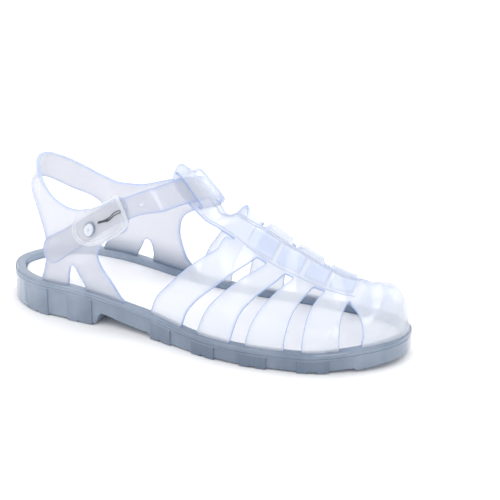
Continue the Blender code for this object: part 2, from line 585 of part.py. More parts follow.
SADDLE_LIFT = 0.4         # lift of the strap where it crosses the T-bar
TAIL_LIFT = STRAP_THICK + LAP_GAP
# Lift of the strap's outer face over the ankle surface, by turn
STRAP_LIFT = ((150.0, 0.0), (166.0, SADDLE_LIFT), (192.0, SADDLE_LIFT), (212.0, TAIL_LIFT),
              (320.0, TAIL_LIFT))
KEEPER = (176.3, 0.0, 6.9)         # turn at mid height, slant over the height, half width
KEEPER_WALL = 1.6
KEEPER_SINK = 0.4         # depth of the keeper's feet in the T-bar
SADDLE_GAP = 0.8          # free space between the strap and the T-bar under it
TAB_FLARE = 1.6           # how far the tab over the strap leans out again


def counter_points(flat, grow=0.0):
    """Outer and inner points of the counter for pattern points, with the strap lifted."""
    T, H = flat[:, 0] / TURN_MM, flat[:, 1] / RISE_MM
    p, n = ankle(T, H), ankle_normals(T, H)
    lift = smooth(STRAP_LIFT, T)
    wall = np.interp(T, (140.0, 156.0), (WALL, STRAP_THICK))
    return p + n * (lift + grow)[:, None], p + n * (lift - wall)[:, None]


def counter():
    outline = np.array([(t * TURN_MM, h * RISE_MM) for t, h in COUNTER])
    flat, tris = triangulate(outline, [], *COUNTER_GRID)
    return shell("heel_counter", flat, tris, *counter_points(flat, np.zeros(len(flat))))


def pads():
    """Raised pads of the spine: rectangle in the pattern, rise, and ramp lengths."""
    out = []
    for a, b in PLAITS:
        out.append((pattern([(a, -0.315), (b, -0.150)]), PLAIT_RISE, (RAMP, RAMP)))
    for strap, (rear_shift, front_shift) in zip(STRAPS[1:], INNER_SHIFT[1:]):
        rear = strap[-1][1] + rear_shift + SLOT_SLANT + LOOP_INSET
        front = strap[-1][2] + front_shift - LOOP_INSET
        out.append((pattern(list(zip((rear, front), LOOP_REACH))), LOOP_RISE, (RAMP, LOOP_RAMP)))
    return out


def raised(flat):
    """Rise of the outer face over the last surface."""
    up = np.zeros(len(flat))
    for (lo, hi), rise, (near, far) in pads():
        dx = np.maximum(np.maximum(lo[0] - flat[:, 0], flat[:, 0] - hi[0]), 0) / RAMP
        dy = np.maximum(np.maximum((lo[1] - flat[:, 1]) / near, (flat[:, 1] - hi[1]) / far), 0)
        up = np.maximum(up, rise * np.clip(1 - np.hypot(dx, dy), 0, 1))
    return up


def pad_creases():
    out = []
    for (lo, hi), rise, (near, far) in pads():
        for k in (0, 1):
            a, b = (RAMP * k, near * k), (RAMP * k, far * k)
            out.append(np.array([(lo[0] - a[0], lo[1] - a[1]), (hi[0] + a[0], lo[1] - a[1]),
                                 (hi[0] + b[0], hi[1] + b[1]), (lo[0] - b[0], hi[1] + b[1])]))
    return out


def under_strap(points):
    """Moves points of the T-bar down where the ankle strap crosses over it."""
    T, H = np.meshgrid(np.linspace(156.0, 204.0, 97), np.linspace(0.58, 1.34, 77), indexing="ij")
    near = (points[:, 0] < 0.58 * SOLE_LENGTH) & (points[:, 2] > 0.89 * VAMP_HEIGHT)
    near &= np.abs(points[:, 1]) < 0.36 * HALF_BALL
    T, H = T.ravel(), H.ravel()
    grid, n = ankle(T, H), ankle_normals(T, H)
    out = points.copy()
    for i in np.where(near)[0]:
        k = np.argmin(((grid - points[i]) ** 2).sum(1))
        height = (points[i] - grid[k]) @ n[k]
        goal = smooth(STRAP_LIFT, T[k]) - STRAP_THICK - SADDLE_GAP
        goal += TAB_FLARE * np.clip((H[k] - 1.03) / 0.12, 0, 1)
        w = 1.0 - np.clip((0.735 - H[k]) / 0.08, 0, 1)
        w = w * w * (3 - 2 * w)
        out[i] = points[i] + n[k] * (goal - height) * w
    return out


def cage_points(flat):
    p, n = vamp(flat[:, 0], flat[:, 1]), vamp_normals(flat[:, 0], flat[:, 1])
    base = under_strap(p)
    return base + n * raised(flat)[:, None], base - n * WALL


def keeper():
    """Sleeve over the ankle strap, its feet sunk in the T-bar."""
    turns = np.linspace(-KEEPER[2], KEEPER[2], 7)
    foot = -STRAP_THICK - SADDLE_GAP - KEEPER_SINK
    low, top = LAP_GAP, LAP_GAP + KEEPER_WALL
    path = ((0.785, foot), (0.790, 0.26 * top), (0.803, 0.87 * top), (0.830, top), (0.985, top),
            (1.010, 0.87 * top), (1.024, 0.26 * top), (1.030, foot), (1.010, foot),
            (1.007, 0.3 * low), (0.998, low), (0.822, low), (0.811, 0.3 * low), (0.808, foot))
    verts, faces, m = [], [], len(path)
    for t in turns:
        H = np.array([h for h, d in path])
        T = KEEPER[0] + KEEPER[1] * (H - 0.88) + t
        p, n = ankle(T, H), ankle_normals(T, H)
        verts += list(p + n * (np.array([d for h, d in path]) + SADDLE_LIFT)[:, None])
    for k in range(len(turns) - 1):
        for i in range(m):
            j = (i + 1) % m
            faces.append((k * m + i, k * m + j, (k + 1) * m + j, (k + 1) * m + i))
    strips = [(0, 1, 12, 13), (1, 2, 11, 12), (2, 3, 11), (3, 4, 10, 11), (4, 5, 10), (5, 6, 9, 10),
              (6, 7, 8, 9)]
    last = (len(turns) - 1) * m
    faces += [f[::-1] for f in strips] + [tuple(last + i for i in f) for f in strips]
    verts = np.array(verts)
    return closed("keeper", verts, faces)


# Buckle plate over the strap: turn in degrees and share of height, outer side negative
BUCKLE = (
    (-88.2, 0.80), (-88.8, 0.87), (-91.3, 0.93), (-96.0, 0.98), (-102.5, 1.013), (-111.0, 1.028),
    (-120.0, 1.038), (-128.0, 1.046), (-134.2, 1.05), (-136.8, 1.00), (-139.2, 0.925),
    (-141.2, 0.84), (-142.0, 0.75), (-136.2, 0.69), (-128.0, 0.648), (-118.0, 0.618),
    (-107.6, 0.605), (-98.7, 0.622), (-92.2, 0.675), (-89.0, 0.74))
BUCKLE_UNDER = TAIL_LIFT + 0.5    # underside of the plate over the ankle surface
BUCKLE_FLOOR = 1.4        # thickness of the plate's floor
BUCKLE_RIM = (3.0, 1.6)   # width and rise of the rim
STUD = (-107.3, 0.79, 3.9, 5.7, 2.6)      # turn, height share, half width, half height, rise
# Prong: turn, height share, lift over the plate's floor
PRONG = ((-114.8, 0.842, 1.3), (-122.0, 0.843, 1.3), (-128.0, 0.847, 1.3), (-131.0, 0.865, 1.9),
         (-134.0, 0.883, 2.7), (-137.5, 0.890, 3.3))
PRONG_RADIUS = 0.9


def on_ankle(T, H, lift):
    T, H = np.atleast_1d(T).astype(float), np.atleast_1d(H).astype(float)
    return ankle(T, H) + ankle_normals(T, H) * np.atleast_1d(lift)[:, None]


def inset_loop(loop, d):
    """A flat closed loop moved inwards by d."""
    t = np.roll(loop, -1, 0) - np.roll(loop, 1, 0)
    t /= np.linalg.norm(t, axis=1)[:, None]
    n = np.stack([-t[:, 1], t[:, 0]], 1)
    side = 1.0 if inside(loop, loop[:1] + n[:1] * 0.5)[0] else -1.0
    return loop + n * d * side


def buckle_frame():
    loop = spline([(t * TURN_MM, h * RISE_MM) for t, h in BUCKLE], 2, closed=True)
    width, rise = BUCKLE_RIM
    creases = [inset_loop(loop, 0.7), inset_loop(loop, width), inset_loop(loop, width + 0.8)]
    flat, tris = triangulate(loop, creases, *PLATE_GRID)
    edge = edge_distance(loop, flat)
    top = np.interp(edge, (0.0, 0.7, width, width + 0.8), (rise - 0.6, rise, rise, 0.0))
    T, H = flat[:, 0] / TURN_MM, flat[:, 1] / RISE_MM
    return shell("buckle_frame", flat, tris, on_ankle(T, H, BUCKLE_UNDER + BUCKLE_FLOOR + top),
                 on_ankle(T, H, np.full(len(T), BUCKLE_UNDER)))


def dome(name, T, H, half_w, half_h, rise, lift):
    """Oval stud with a flat foot, standing off the ankle surface."""
    rings = ((1.0, 0.0), (1.0, 0.45), (0.93, 0.72), (0.72, 0.9), (0.38, 1.0))
    verts, faces, m = [], [], 20
    for r, h in rings:
        for k in range(m):
            a = 2 * np.pi * k / m
            verts.append(on_ankle(T + r * half_w * np.cos(a) / TURN_MM, H + r * half_h * np.sin(a)
                                  / RISE_MM, lift + h * rise)[0])
    for k in range(len(rings) - 1):
        for i in range(m):
            j = (i + 1) % m
            faces.append((k * m + i, k * m + j, (k + 1) * m + j, (k + 1) * m + i))
    faces += [tuple(range(m))[::-1], tuple(range((len(rings) - 1) * m, len(rings) * m))]
    return closed(name, verts, faces)


def closed(name, verts, faces):
    """Mesh of a closed body with its faces turned outwards."""
    verts = np.array(verts)
    size = sum(np.dot(verts[f[0]], np.cross(verts[f[k]], verts[f[k + 1]]))
               for f in faces for k in range(1, len(f) - 1))
    return make_mesh(name, verts, [f[::-1] for f in faces] if size < 0 else faces)


def rod(name, path, radius, sides=10):
    """Round rod with flat ends along a path."""
    path = np.asarray(path, float)
    t = np.gradient(path, axis=0)
    t /= np.linalg.norm(t, axis=1)[:, None]
    ref = np.array([0.0, 0.0, 1.0])
    verts, faces = [], []
    for p, d in zip(path, t):
        a = np.cross(d, ref)
        a /= np.linalg.norm(a)
        b = np.cross(d, a)
        for k in range(sides):
            w = 2 * np.pi * k / sides
            verts.append(p + radius * (a * np.cos(w) + b * np.sin(w)))
    for k in range(len(path) - 1):
        for i in range(sides):
            j = (i + 1) % sides
            faces.append((k * sides + i, k * sides + j, (k + 1) * sides + j, (k + 1) * sides + i))
    last = (len(path) - 1) * sides
    faces += [tuple(range(sides))[::-1], tuple(range(last, last + sides))]
    return closed(name, verts, faces)


def buckle_stud():
    T, H, w, h, rise = STUD
    return dome("buckle_stud", T, H, w, h, rise, BUCKLE_UNDER + BUCKLE_FLOOR + GAP)


def prong_path(steps=3):
    rows = spline(PRONG, steps)
    return np.array([on_ankle(t, h, BUCKLE_UNDER + BUCKLE_FLOOR + d)[0] for t, h, d in rows])


def buckle_prong():
    return rod("buckle_prong", prong_path(), PRONG_RADIUS)


def cage():
    outline = cage_outline()
    flat, tris = triangulate(outline, pad_creases(), *CAGE_GRID)
    return shell("upper_cage", flat, tris, *cage_points(flat))


MATERIALS = {
    "clear_sole": ((0.44, 0.52, 0.63, 1.0), 0.18),
    "white_footbed": ((0.85, 0.86, 0.88, 1.0), 0.45),
    "clear_upper": ((0.78, 0.83, 0.90, 1.0), 0.15),
    "clear_counter": ((0.72, 0.75, 0.83, 1.0), 0.15),
    "clear_buckle": ((0.70, 0.78, 0.90, 1.0), 0.12),
    "white_stud": ((0.80, 0.86, 0.95, 1.0), 0.20),
    "grey_metal": ((0.30, 0.31, 0.33, 1.0), 0.30),
}


def material(name):
    colour, rough = MATERIALS[name]
    mat = bpy.data.materials.new(name)
    mat.use_nodes = True
    node = mat.node_tree.nodes["Principled BSDF"]
    node.inputs["Base Color"].default_value = colour
    node.inputs["Roughness"].default_value = rough
    node.inputs["Metallic"].default_value = 1.0 if "metal" in name else 0.0
    mat.diffuse_color = colour
    return mat


def add(name, mesh, mat):
    obj = bpy.data.objects.new(name, mesh)
    bpy.context.scene.collection.objects.link(obj)
    mesh.materials.clear()
    mesh.materials.append(material(mat))
    return obj


def join(obj, mesh):
    """Adds a second body to an object as one solid."""
    tool = bpy.data.objects.new("tool", mesh)
    bpy.context.scene.collection.objects.link(tool)
    mod = obj.modifiers.new("join", "BOOLEAN")
    mod.operation, mod.solver, mod.object = "UNION", "EXACT", tool
    bpy.context.view_layer.update()
    done = bpy.data.meshes.new_from_object(obj.evaluated_get(bpy.context.evaluated_depsgraph_get()))
    obj.modifiers.clear()
    obj.data = done
    bpy.data.objects.remove(tool)


def build():
    for old in list(bpy.data.objects):
        bpy.data.objects.remove(old)
    add("outsole", outsole(), "clear_sole")
    add("insole", insole(), "white_footbed")
    top = add("upper_cage", cage(), "clear_upper")
    join(top, keeper())
    add("heel_counter", counter(), "clear_counter")
    add("buckle_frame", buckle_frame(), "clear_buckle")
    add("buckle_stud", buckle_stud(), "white_stud")
    add("buckle_prong", buckle_prong(), "grey_metal")


if __name__ == "__main__":
    build()
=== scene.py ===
"""Looks of the jelly sandal, right foot, laid out as an add-on and run as a script.
Every piece is drawn from the same last as the frame: lengths are worked out in millimetres,
x from the heel and y from the sole's middle line, and written in metres round the frame's origin."""
import math
import bpy
import numpy as np
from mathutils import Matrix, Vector
from mathutils.geometry import delaunay_2d_cdt


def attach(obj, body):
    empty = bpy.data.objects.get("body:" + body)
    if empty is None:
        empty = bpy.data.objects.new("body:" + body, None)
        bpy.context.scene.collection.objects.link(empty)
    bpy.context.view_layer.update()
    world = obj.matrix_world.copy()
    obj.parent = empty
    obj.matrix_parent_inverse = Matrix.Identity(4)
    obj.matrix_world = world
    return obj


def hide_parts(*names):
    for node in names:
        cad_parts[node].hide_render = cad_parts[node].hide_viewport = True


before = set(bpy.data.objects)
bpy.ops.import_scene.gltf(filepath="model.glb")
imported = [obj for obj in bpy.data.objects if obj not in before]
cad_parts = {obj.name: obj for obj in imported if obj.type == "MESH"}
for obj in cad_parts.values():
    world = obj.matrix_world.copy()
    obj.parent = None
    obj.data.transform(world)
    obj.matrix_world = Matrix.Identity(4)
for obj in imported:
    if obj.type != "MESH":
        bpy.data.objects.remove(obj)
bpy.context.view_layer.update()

bl_info = {
    "name": "Jelly sandal",
    "version": (1, 0, 0),
    "blender": (4, 5, 0),
    "location": "View3D > Sidebar > Sandal",
    "description": "Clear moulded sandal with a caged vamp, ankle strap and buckle plate",
    "category": "Add Mesh",
}

MM = 0.001
PVC_IOR = 1.52

# Sizes of the last and of the moulding, in millimetres
SOLE_LENGTH = 258.0
HALF_BALL = 45.0
SOLE_HEIGHT = 21.8
VAMP_HEIGHT = 67.5
WALL = 2.2
GAP = 0.3
LIP = 2.8
SHOULDER = 1.1
RIM_WIDTH = 6.6
UPPER_INSET = 3.0
FOOTBED_DROP = 3.1
FOOTBED_THICK = 2.0
TOE_SPRING = 4.4
LUG_DEPTH = 1.0
BLOCK_STEP = 0.8
SIDE_INSET = 0.2
SHOULDER_RUN = 2.2
ARCH_HEIGHT = 8.4

# Sole outline: share of length, outer and inner half width as shares of HALF_BALL
HEEL_TIP_Y, TOE_TIP_Y = -0.095, 0.169
OUTLINE = (
    (0.015, 0.338, 0.176), (0.05, 0.591, 0.433), (0.12, 0.79, 0.655), (0.22, 0.82, 0.695),
    (0.33, 0.8, 0.722), (0.44, 0.833, 0.74), (0.55, 0.955, 0.83), (0.65, 1, 0.903),
    (0.75, 0.928, 0.948), (0.84, 0.784, 0.93), (0.91, 0.547, 0.82), (0.96, 0.296, 0.665),
    (0.99, 0.051, 0.45))
# Height of the lip edge: share of length, share of SOLE_HEIGHT
RIM_RISE = ((0, 0.915), (0.2, 0.975), (0.4, 0.725), (0.6, 0.515), (0.8, 0.5), (1, 0.69))
SMOOTH_TOE = 0.918
# Shares of length: start and run of the toe's spring; then how far the rows of points keep from
# a step in the side, and how far the pair of rows at the step stands to both sides of it
SPRING_START, SPRING_RUN = 0.80, 0.20
STEP_CLEAR, STEP_PAIR = 0.0022, 0.0006
# Underside of the waist: share of length, share of ARCH_HEIGHT
ARCH = ((0.284, 0), (0.3, 1), (0.354, 0.68), (0.409, 0.45), (0.436, 0.38))
# Side blocks with their lugs, and the notch in the foot of each: shares of length
BLOCKS = ((0.088, 0.158), (0.212, 0.279), (0.437, 0.494), (0.554, 0.614), (0.676, 0.738),
          (0.805, 0.871))
NOTCHES = ((0.121, 0.13), (0.239, 0.25), (0.459, 0.471), (0.578, 0.591), (0.699, 0.715),
           (0.828, 0.847))


def smooth(table, x, column=1):
    """Value of one column of a table at x, by a monotone cubic through its rows."""
    t = np.array([row[0] for row in table], float)
    v = np.array([row[column] for row in table], float)
    x = np.clip(np.asarray(x, float), t[0], t[-1])
    h, d = np.diff(t), np.diff(v) / np.diff(t)
    m = np.zeros(len(t))
    m[0], m[-1] = d[0], d[-1]
    inner = d[:-1] * d[1:] > 0
    mean = (h[:-1] + h[1:]) * 3.0 / ((2 * h[1:] + h[:-1]) / np.where(inner, d[:-1], 1)
                                    + (h[1:] + 2 * h[:-1]) / np.where(inner, d[1:], 1))
    m[1:-1] = np.where(inner, mean, 0)
    i = np.clip(np.searchsorted(t, x, side="right") - 1, 0, len(h) - 1)
    u = (x - t[i]) / h[i]
    return ((1 + 2 * u) * (1 - u) ** 2 * v[i] + u * (1 - u) ** 2 * h[i] * m[i]
            + u * u * (3 - 2 * u) * v[i + 1] - u * u * (1 - u) * h[i] * m[i + 1])


def ease(x):
    """Smooth step from 0 to 1."""
    x = np.clip(x, 0, 1)
    return x * x * (3 - 2 * x)


def spline(points, steps, closed=False):
    """Centripetal Catmull-Rom curve through the points, `steps` samples a span."""
    p = np.asarray(points, float)
    if closed:
        p = np.vstack([p[-1:], p, p[:2]])
    else:
        p = np.vstack([2 * p[:1] - p[1:2], p, 2 * p[-1:] - p[-2:-1]])
    out = []
    for a, b, c, d in zip(p[:-3], p[1:-2], p[2:-1], p[3:]):
        t1 = max(np.linalg.norm(b - a), 1e-9) ** 0.5
        t2 = t1 + max(np.linalg.norm(c - b), 1e-9) ** 0.5
        t3 = t2 + max(np.linalg.norm(d - c), 1e-9) ** 0.5
        t = np.linspace(t1, t2, steps, endpoint=False)[:, None]
        ab = (t1 - t) / t1 * a + t / t1 * b
        bc = (t2 - t) / (t2 - t1) * b + (t - t1) / (t2 - t1) * c
        cd = (t3 - t) / (t3 - t2) * c + (t - t2) / (t3 - t2) * d
        abc = (t2 - t) / t2 * ab + t / t2 * bc
        bcd = (t3 - t) / (t3 - t1) * bc + (t - t1) / (t3 - t1) * cd
        out.append((t2 - t) / (t2 - t1) * abc + (t - t1) / (t2 - t1) * bcd)
    if not closed:
        out.append(p[-2:-1])
    return np.vstack(out)


def sole_outline():
    """Dense closed outline of the lip edge, heel tip first, outer side next."""
    outer = [(s * SOLE_LENGTH, -a * HALF_BALL) for s, a, b in OUTLINE]
    inner = [(s * SOLE_LENGTH, b * HALF_BALL) for s, a, b in OUTLINE]
    tips = [(0.0, HEEL_TIP_Y * HALF_BALL)], [(SOLE_LENGTH, TOE_TIP_Y * HALF_BALL)]
    return spline(tips[0] + outer + tips[1] + inner[::-1], 24, closed=True)


EDGE = sole_outline()
HALF = len(EDGE) // 2
CENTRE = np.append((EDGE.min(0) + EDGE.max(0)) / 2, 0.0)


def outline_normals():
    d = np.roll(EDGE, -1, 0) - np.roll(EDGE, 1, 0)
    d /= np.linalg.norm(d, axis=1)[:, None]
    return np.stack([-d[:, 1], d[:, 0]], 1)


def side_at(x, side, inset=0.0):
    """Point and inward normal of the outline at lengths x; side -1 outer, +1 inner."""
    run = np.arange(0, HALF + 1) if side < 0 else np.arange(len(EDGE), HALF - 1, -1) % len(EDGE)
    c, n = EDGE[run], outline_normals()[run]
    at = np.interp(x, np.maximum.accumulate(c[:, 0]), np.arange(len(c)))
    pick = lambda a: np.stack([np.interp(at, np.arange(len(c)), a[:, k]) for k in (0, 1)], -1)
    normal = pick(n)
    normal /= np.linalg.norm(normal, axis=-1)[..., None]
    return pick(c) + normal * np.asarray(inset)[..., None], normal


def rim_z(x):
    return smooth(RIM_RISE, np.asarray(x, float) / SOLE_LENGTH) * SOLE_HEIGHT


def foot_z(x):
    return rim_z(x) + SHOULDER + GAP


# The vamp: a last surface drawn over a flat pattern. Pattern X runs along the crest and
# is 0 at DOME_X; ahead of it the pattern is a half disc that closes the toe. Pattern Y is
# 0 on the crest and PATTERN_HALF at the foot of the wall (outer side negative).
DOME_X = 0.862 * SOLE_LENGTH
PATTERN_HALF = 60.0
CREST = ((0.36, 0.16, 1.93), (0.4, 0.17, 1.76), (0.45, 0.2, 1.57), (0.496, 0.25, 1.34),
         (0.535, 0.3, 1.205), (0.58, 0.345, 1.105), (0.643, 0.38, 1), (0.705, 0.4, 0.868),
         (0.752, 0.4, 0.79), (0.783, 0.4, 0.73), (0.814, 0.4, 0.68), (0.845, 0.39, 0.645),
         (0.875, 0.38, 0.63))
FULLNESS = ((0.36, 0.42, 0.45, 0.5, 0.5), (0.496, 0.4, 0.45, 0.5, 0.5),
            (0.58, 0.35, 0.4, 0.5, 0.5), (0.643, 0.27, 0.32, 0.5, 0.5),
            (0.78, 0.28, 0.32, 0.5, 0.5), (0.86, 0.36, 0.4, 0.55, 0.55))
TOE_FULLNESS = (0.85, 0.68)
TOE_INSET = 1.4
# Behind the far rail the vamp falls away: depth, then the shares of the half pattern where
# the fall starts and ends and where it starts and ends to come back
INNER_FALL = (5.5, -0.105, 0.035, 0.1, 0.55)
FALL_SPAN = ((0.575, 0.63), (0.89, 0.97))


def bezier_point(radius, height, rise, reach, share):
    """Distance out and height of a section at an arc share from the crest (0) to the foot."""
    u = np.linspace(0.0, 1.0, 41)[None, :]
    q = 1 - u
    out = (u ** 3 + 3 * u * u * q + 3 * u * q * q * reach[:, None]) * radius[:, None]
    up = (3 * u * u * q * rise[:, None] + 3 * u * q * q + q ** 3) * height[:, None]
    run = np.cumsum(np.hypot(np.diff(out, axis=1), np.diff(up, axis=1)), axis=1)
    run = np.hstack([np.zeros((len(run), 1)), run])
    goal = np.clip(share, 0, 1) * run[:, -1]
    k = np.clip((run < goal[:, None]).sum(1), 1, 40)
    i = np.arange(len(k))
    f = (goal - run[i, k - 1]) / (run[i, k] - run[i, k - 1])
    out_at = out[i, k - 1] * (1 - f) + out[i, k] * f
    up_at = up[i, k - 1] * (1 - f) + up[i, k] * f
    return out_at, up_at - np.maximum(share - 1.0, 0.0) * run[:, -1]


def toe_radius():
    """Distance from the dome's pole to the foot line, for angles 0 (outer) to 180."""
    foot = EDGE + outline_normals() * UPPER_INSET
    c = foot - np.array([DOME_X, smooth(CREST, DOME_X / SOLE_LENGTH) * HALF_BALL])
    c = c[c[:, 0] > -8.0]
    angle = np.degrees(np.arctan2(c[:, 0], -c[:, 1]))
    order = np.argsort(angle)
    out = (UPPER_INSET - TOE_INSET) * np.clip(np.sin(np.radians(angle)), 0, 1) ** 2
    return angle[order], (np.hypot(c[:, 0], c[:, 1]) + out)[order]


TOE_ANGLE, TOE_RADIUS = toe_radius()


def inner_fall(s, v):
    """How far the vamp lies under the last behind its far rail."""
    depth, start, end, back, last = INNER_FALL
    (a, b), (c, d) = FALL_SPAN
    across = ease((v - start) / (end - start)) * (1 - ease((v - back) / (last - back)))
    return depth * across * ease((s - a) / (b - a)) * (1 - ease((s - c) / (d - c)))


def vamp(X, Y):
    """Points of the outer vamp surface for pattern points."""
    X, Y = np.atleast_1d(np.asarray(X, float)), np.atleast_1d(np.asarray(Y, float))
    outer = Y < 0
    x = np.minimum(DOME_X + X, DOME_X)
    s = x / SOLE_LENGTH
    yc, zc = smooth(CREST, s) * HALF_BALL, smooth(CREST, s, 2) * VAMP_HEIGHT
    foot = np.where(outer, *(side_at(x, side, UPPER_INSET)[0][:, 1] for side in (-1, 1)))
    radius, z0 = np.abs(foot - yc), foot_z(x)
    rise, reach = (np.where(outer, smooth(FULLNESS, s, k), smooth(FULLNESS, s, k + 2)) for k in (1, 2))
    share = np.abs(Y) / PATTERN_HALF
    way = np.stack([np.zeros_like(x), np.where(outer, -1.0, 1.0)], 1)
    dome = X > 0
    angle = np.degrees(np.arctan2(np.maximum(X, 0), -Y))
    r = np.interp(angle, TOE_ANGLE, TOE_RADIUS)
    turned = np.clip(np.sin(np.radians(angle)), 0, 1) ** 1.5
    radius = np.where(dome, r, radius)
    share = np.where(dome, np.hypot(X, Y) / PATTERN_HALF, share)
    round_way = np.stack([np.sin(np.radians(angle)), -np.cos(np.radians(angle))], 1)
    way = np.where(dome[:, None], round_way, way)
    rise, reach = (np.where(dome, side * (1 - turned) + toe * turned, side)
                   for side, toe in zip((rise, reach), TOE_FULLNESS))
    z0 = np.where(dome, foot_z(np.minimum(x + way[:, 0] * r, SOLE_LENGTH)), z0)
    out, up = bezier_point(radius, zc - z0, rise, reach, share)
    up = up - inner_fall((DOME_X + X) / SOLE_LENGTH, Y / PATTERN_HALF)
    return np.stack([x + way[:, 0] * out, yc + way[:, 1] * out, z0 + up], 1)


# The ankle surface: rays round a centre from the rim (H = 0) to the top line (H = 1).
# T is the turn in degrees from the back of the heel, outer side negative.
ANKLE_X, ANKLE_Y = 0.248 * SOLE_LENGTH, -0.078 * HALF_BALL
# Top line: turn, radius as a share of length, height as a share of VAMP_HEIGHT
TOP_LINE = ((0, 0.172, 1.376), (5, 0.1713, 1.373), (20, 0.1585, 1.315), (38, 0.1445, 1.225),
            (58, 0.13, 1.125), (80, 0.1155, 1.07), (105, 0.1143, 1.104), (125, 0.124, 1.178),
            (145, 0.149, 1.274), (165, 0.182, 1.363), (180, 0.1977, 1.4))
ANKLE_BULGE = 2.0
FRONT_REACH = 0.457
# Push forwards at the T-bar: turn, spread in degrees, share of length
INSTEP_SKEW = (166, 14, 0.0505)


def base_radius():
    c = EDGE + outline_normals() * UPPER_INSET
    c = c[c[:, 0] < 0.62 * SOLE_LENGTH] - np.array([ANKLE_X, ANKLE_Y])
    turn = np.degrees(np.arctan2(c[:, 1], -c[:, 0]))
    order = np.argsort(turn)
    front = FRONT_REACH * SOLE_LENGTH
    radius = np.hypot(c[:, 0], c[:, 1])[order]
    return (np.concatenate([[-180.0], turn[order], [180.0]]),
            np.concatenate([[front], radius, [front]]))


BASE_TURN, BASE_RADIUS = base_radius()


def ankle(T, H):
    """Points of the outer ankle surface."""
    T, H = np.atleast_1d(np.asarray(T, float)), np.atleast_1d(np.asarray(H, float))
    turn = (T + 180.0) % 360.0 - 180.0
    way = np.stack([-np.cos(np.radians(T)), np.sin(np.radians(T))], 1)
    r0 = np.interp(turn, BASE_TURN, BASE_RADIUS)
    r1 = smooth(TOP_LINE, np.abs(turn)) * SOLE_LENGTH
    x0 = np.clip(ANKLE_X + way[:, 0] * r0, 0, SOLE_LENGTH)
    z0, z1 = foot_z(x0), smooth(TOP_LINE, np.abs(turn), 2) * VAMP_HEIGHT
    off = (T - INSTEP_SKEW[0] + 180.0) % 360.0 - 180.0
    r = r0 + (r1 - r0) * H + ANKLE_BULGE * 4 * np.clip(H, 0, 1) * (1 - np.clip(H, 0, 1))
    r = r + INSTEP_SKEW[2] * SOLE_LENGTH * np.exp(-(off / INSTEP_SKEW[1]) ** 2)
    return np.stack([ANKLE_X + way[:, 0] * r, ANKLE_Y + way[:, 1] * r, z0 + (z1 - z0) * H], 1)


def unit(v):
    return v / np.maximum(np.linalg.norm(v, axis=1), 1e-9)[:, None]


def vamp_normals(X, Y):
    return unit(np.cross(vamp(X + 0.5, Y) - vamp(X - 0.5, Y), vamp(X, Y + 0.5) - vamp(X, Y - 0.5)))


def ankle_normals(T, H):
    across = ankle(T + 1.0, H) - ankle(T - 1.0, H)
    upwards = ankle(T, H + 0.01) - ankle(T, H - 0.01)
    return unit(np.cross(upwards, across))


def on_ankle(T, H, lift):
    T, H = np.atleast_1d(T).astype(float), np.atleast_1d(H).astype(float)
    return ankle(T, H) + ankle_normals(T, H) * np.atleast_1d(lift)[:, None]


# Straps and edges of the cage, as in the frame
STRAPS = (
    ((-1, 0.428, 0.518), (-0.9, 0.446, 0.531), (-0.8, 0.472, 0.552), (-0.67, 0.505, 0.587),
     (-0.53, 0.541, 0.619), (-0.42, 0.571, 0.643)),
    ((-1, 0.56, 0.648), (-0.9, 0.572, 0.653), (-0.8, 0.585, 0.658), (-0.67, 0.612, 0.675),
     (-0.53, 0.642, 0.7), (-0.45, 0.661, 0.713)),
    ((-1, 0.684, 0.773), (-0.86, 0.688, 0.769), (-0.7, 0.7, 0.769), (-0.56, 0.717, 0.775),
     (-0.45, 0.732, 0.783)),
    ((-1, 0.811, 0.897), (-0.83, 0.805, 0.884), (-0.67, 0.801, 0.875), (-0.55, 0.803, 0.872),
     (-0.45, 0.808, 0.874)))
CAP_REAR = ((-0.88, 0.957), (-0.8, 0.953), (-0.71, 0.941), (-0.61, 0.922), (-0.54, 0.904),
            (-0.485, 0.886))
SPINE_OUTER = ((0.468, -0.248), (0.51, -0.263), (0.56, -0.288), (0.6, -0.303), (0.655, -0.35),
               (0.679, -0.36), (0.723, -0.368), (0.743, -0.372), (0.789, -0.368), (0.816, -0.368),
               (0.876, -0.43))
TAB = ((0.485, -0.02), (0.473, -0.05), (0.457, -0.088), (0.45, -0.12), (0.447, -0.16),
       (0.446, -0.2), (0.452, -0.228))
SPINE_INNER = ((0.5, 0.02), (0.52, 0.03), (0.545, 0), (0.565, -0.05), (0.585, -0.09),
               (0.6, -0.105))
# Roots of the inner straps: shift of rear and front edge to the toe, share of length
INNER_SHIFT = ((0.02, -0.013), (-0.019, -0.008), (-0.015, 0), (-0.011, -0.006))
CAP_SHIFT, SLOT_SLANT, INNER_ROOT = 0.005, 0.003, -0.10
SPINE_EDGE = 0.368        # arc share of the spine's outer edge
PLAITS = ((0.626, 0.684), (0.697, 0.749), (0.763, 0.808), (0.822, 0.874))
PLAIT_SPAN = (-0.315, -0.15)
PLAIT_RISE, LOOP_RISE = 1.2, 2.4
LOOP_REACH, LOOP_INSET = (-0.1, -0.055), 0.004
RAMP, LOOP_RAMP = 0.6, 3.0
FOOT_SINK = 1.03          # the feet of the straps run this far down into the rim

# Rounding of the outlines' corners and distance between the points along them
CAGE_CORNER, ANKLE_CORNER, OUTLINE_STEP = 0.7, 0.5, 0.9
STRAP_THICK, LAP_GAP, SADDLE_LIFT, SADDLE_GAP = 2, 0.7, 0.4, 0.8
TAIL_LIFT = STRAP_THICK + LAP_GAP
TAB_FLARE = 1.6
# Part of the T-bar that dips under the ankle strap, as shares of length, half ball and height;
# heights where the dip fades in, and where the tab's tip curls up: start and run
SADDLE_BOX, TAB_FADE, TAB_CURL = (0.58, 0.36, 0.89), (0.735, 0.08), (1.03, 0.12)
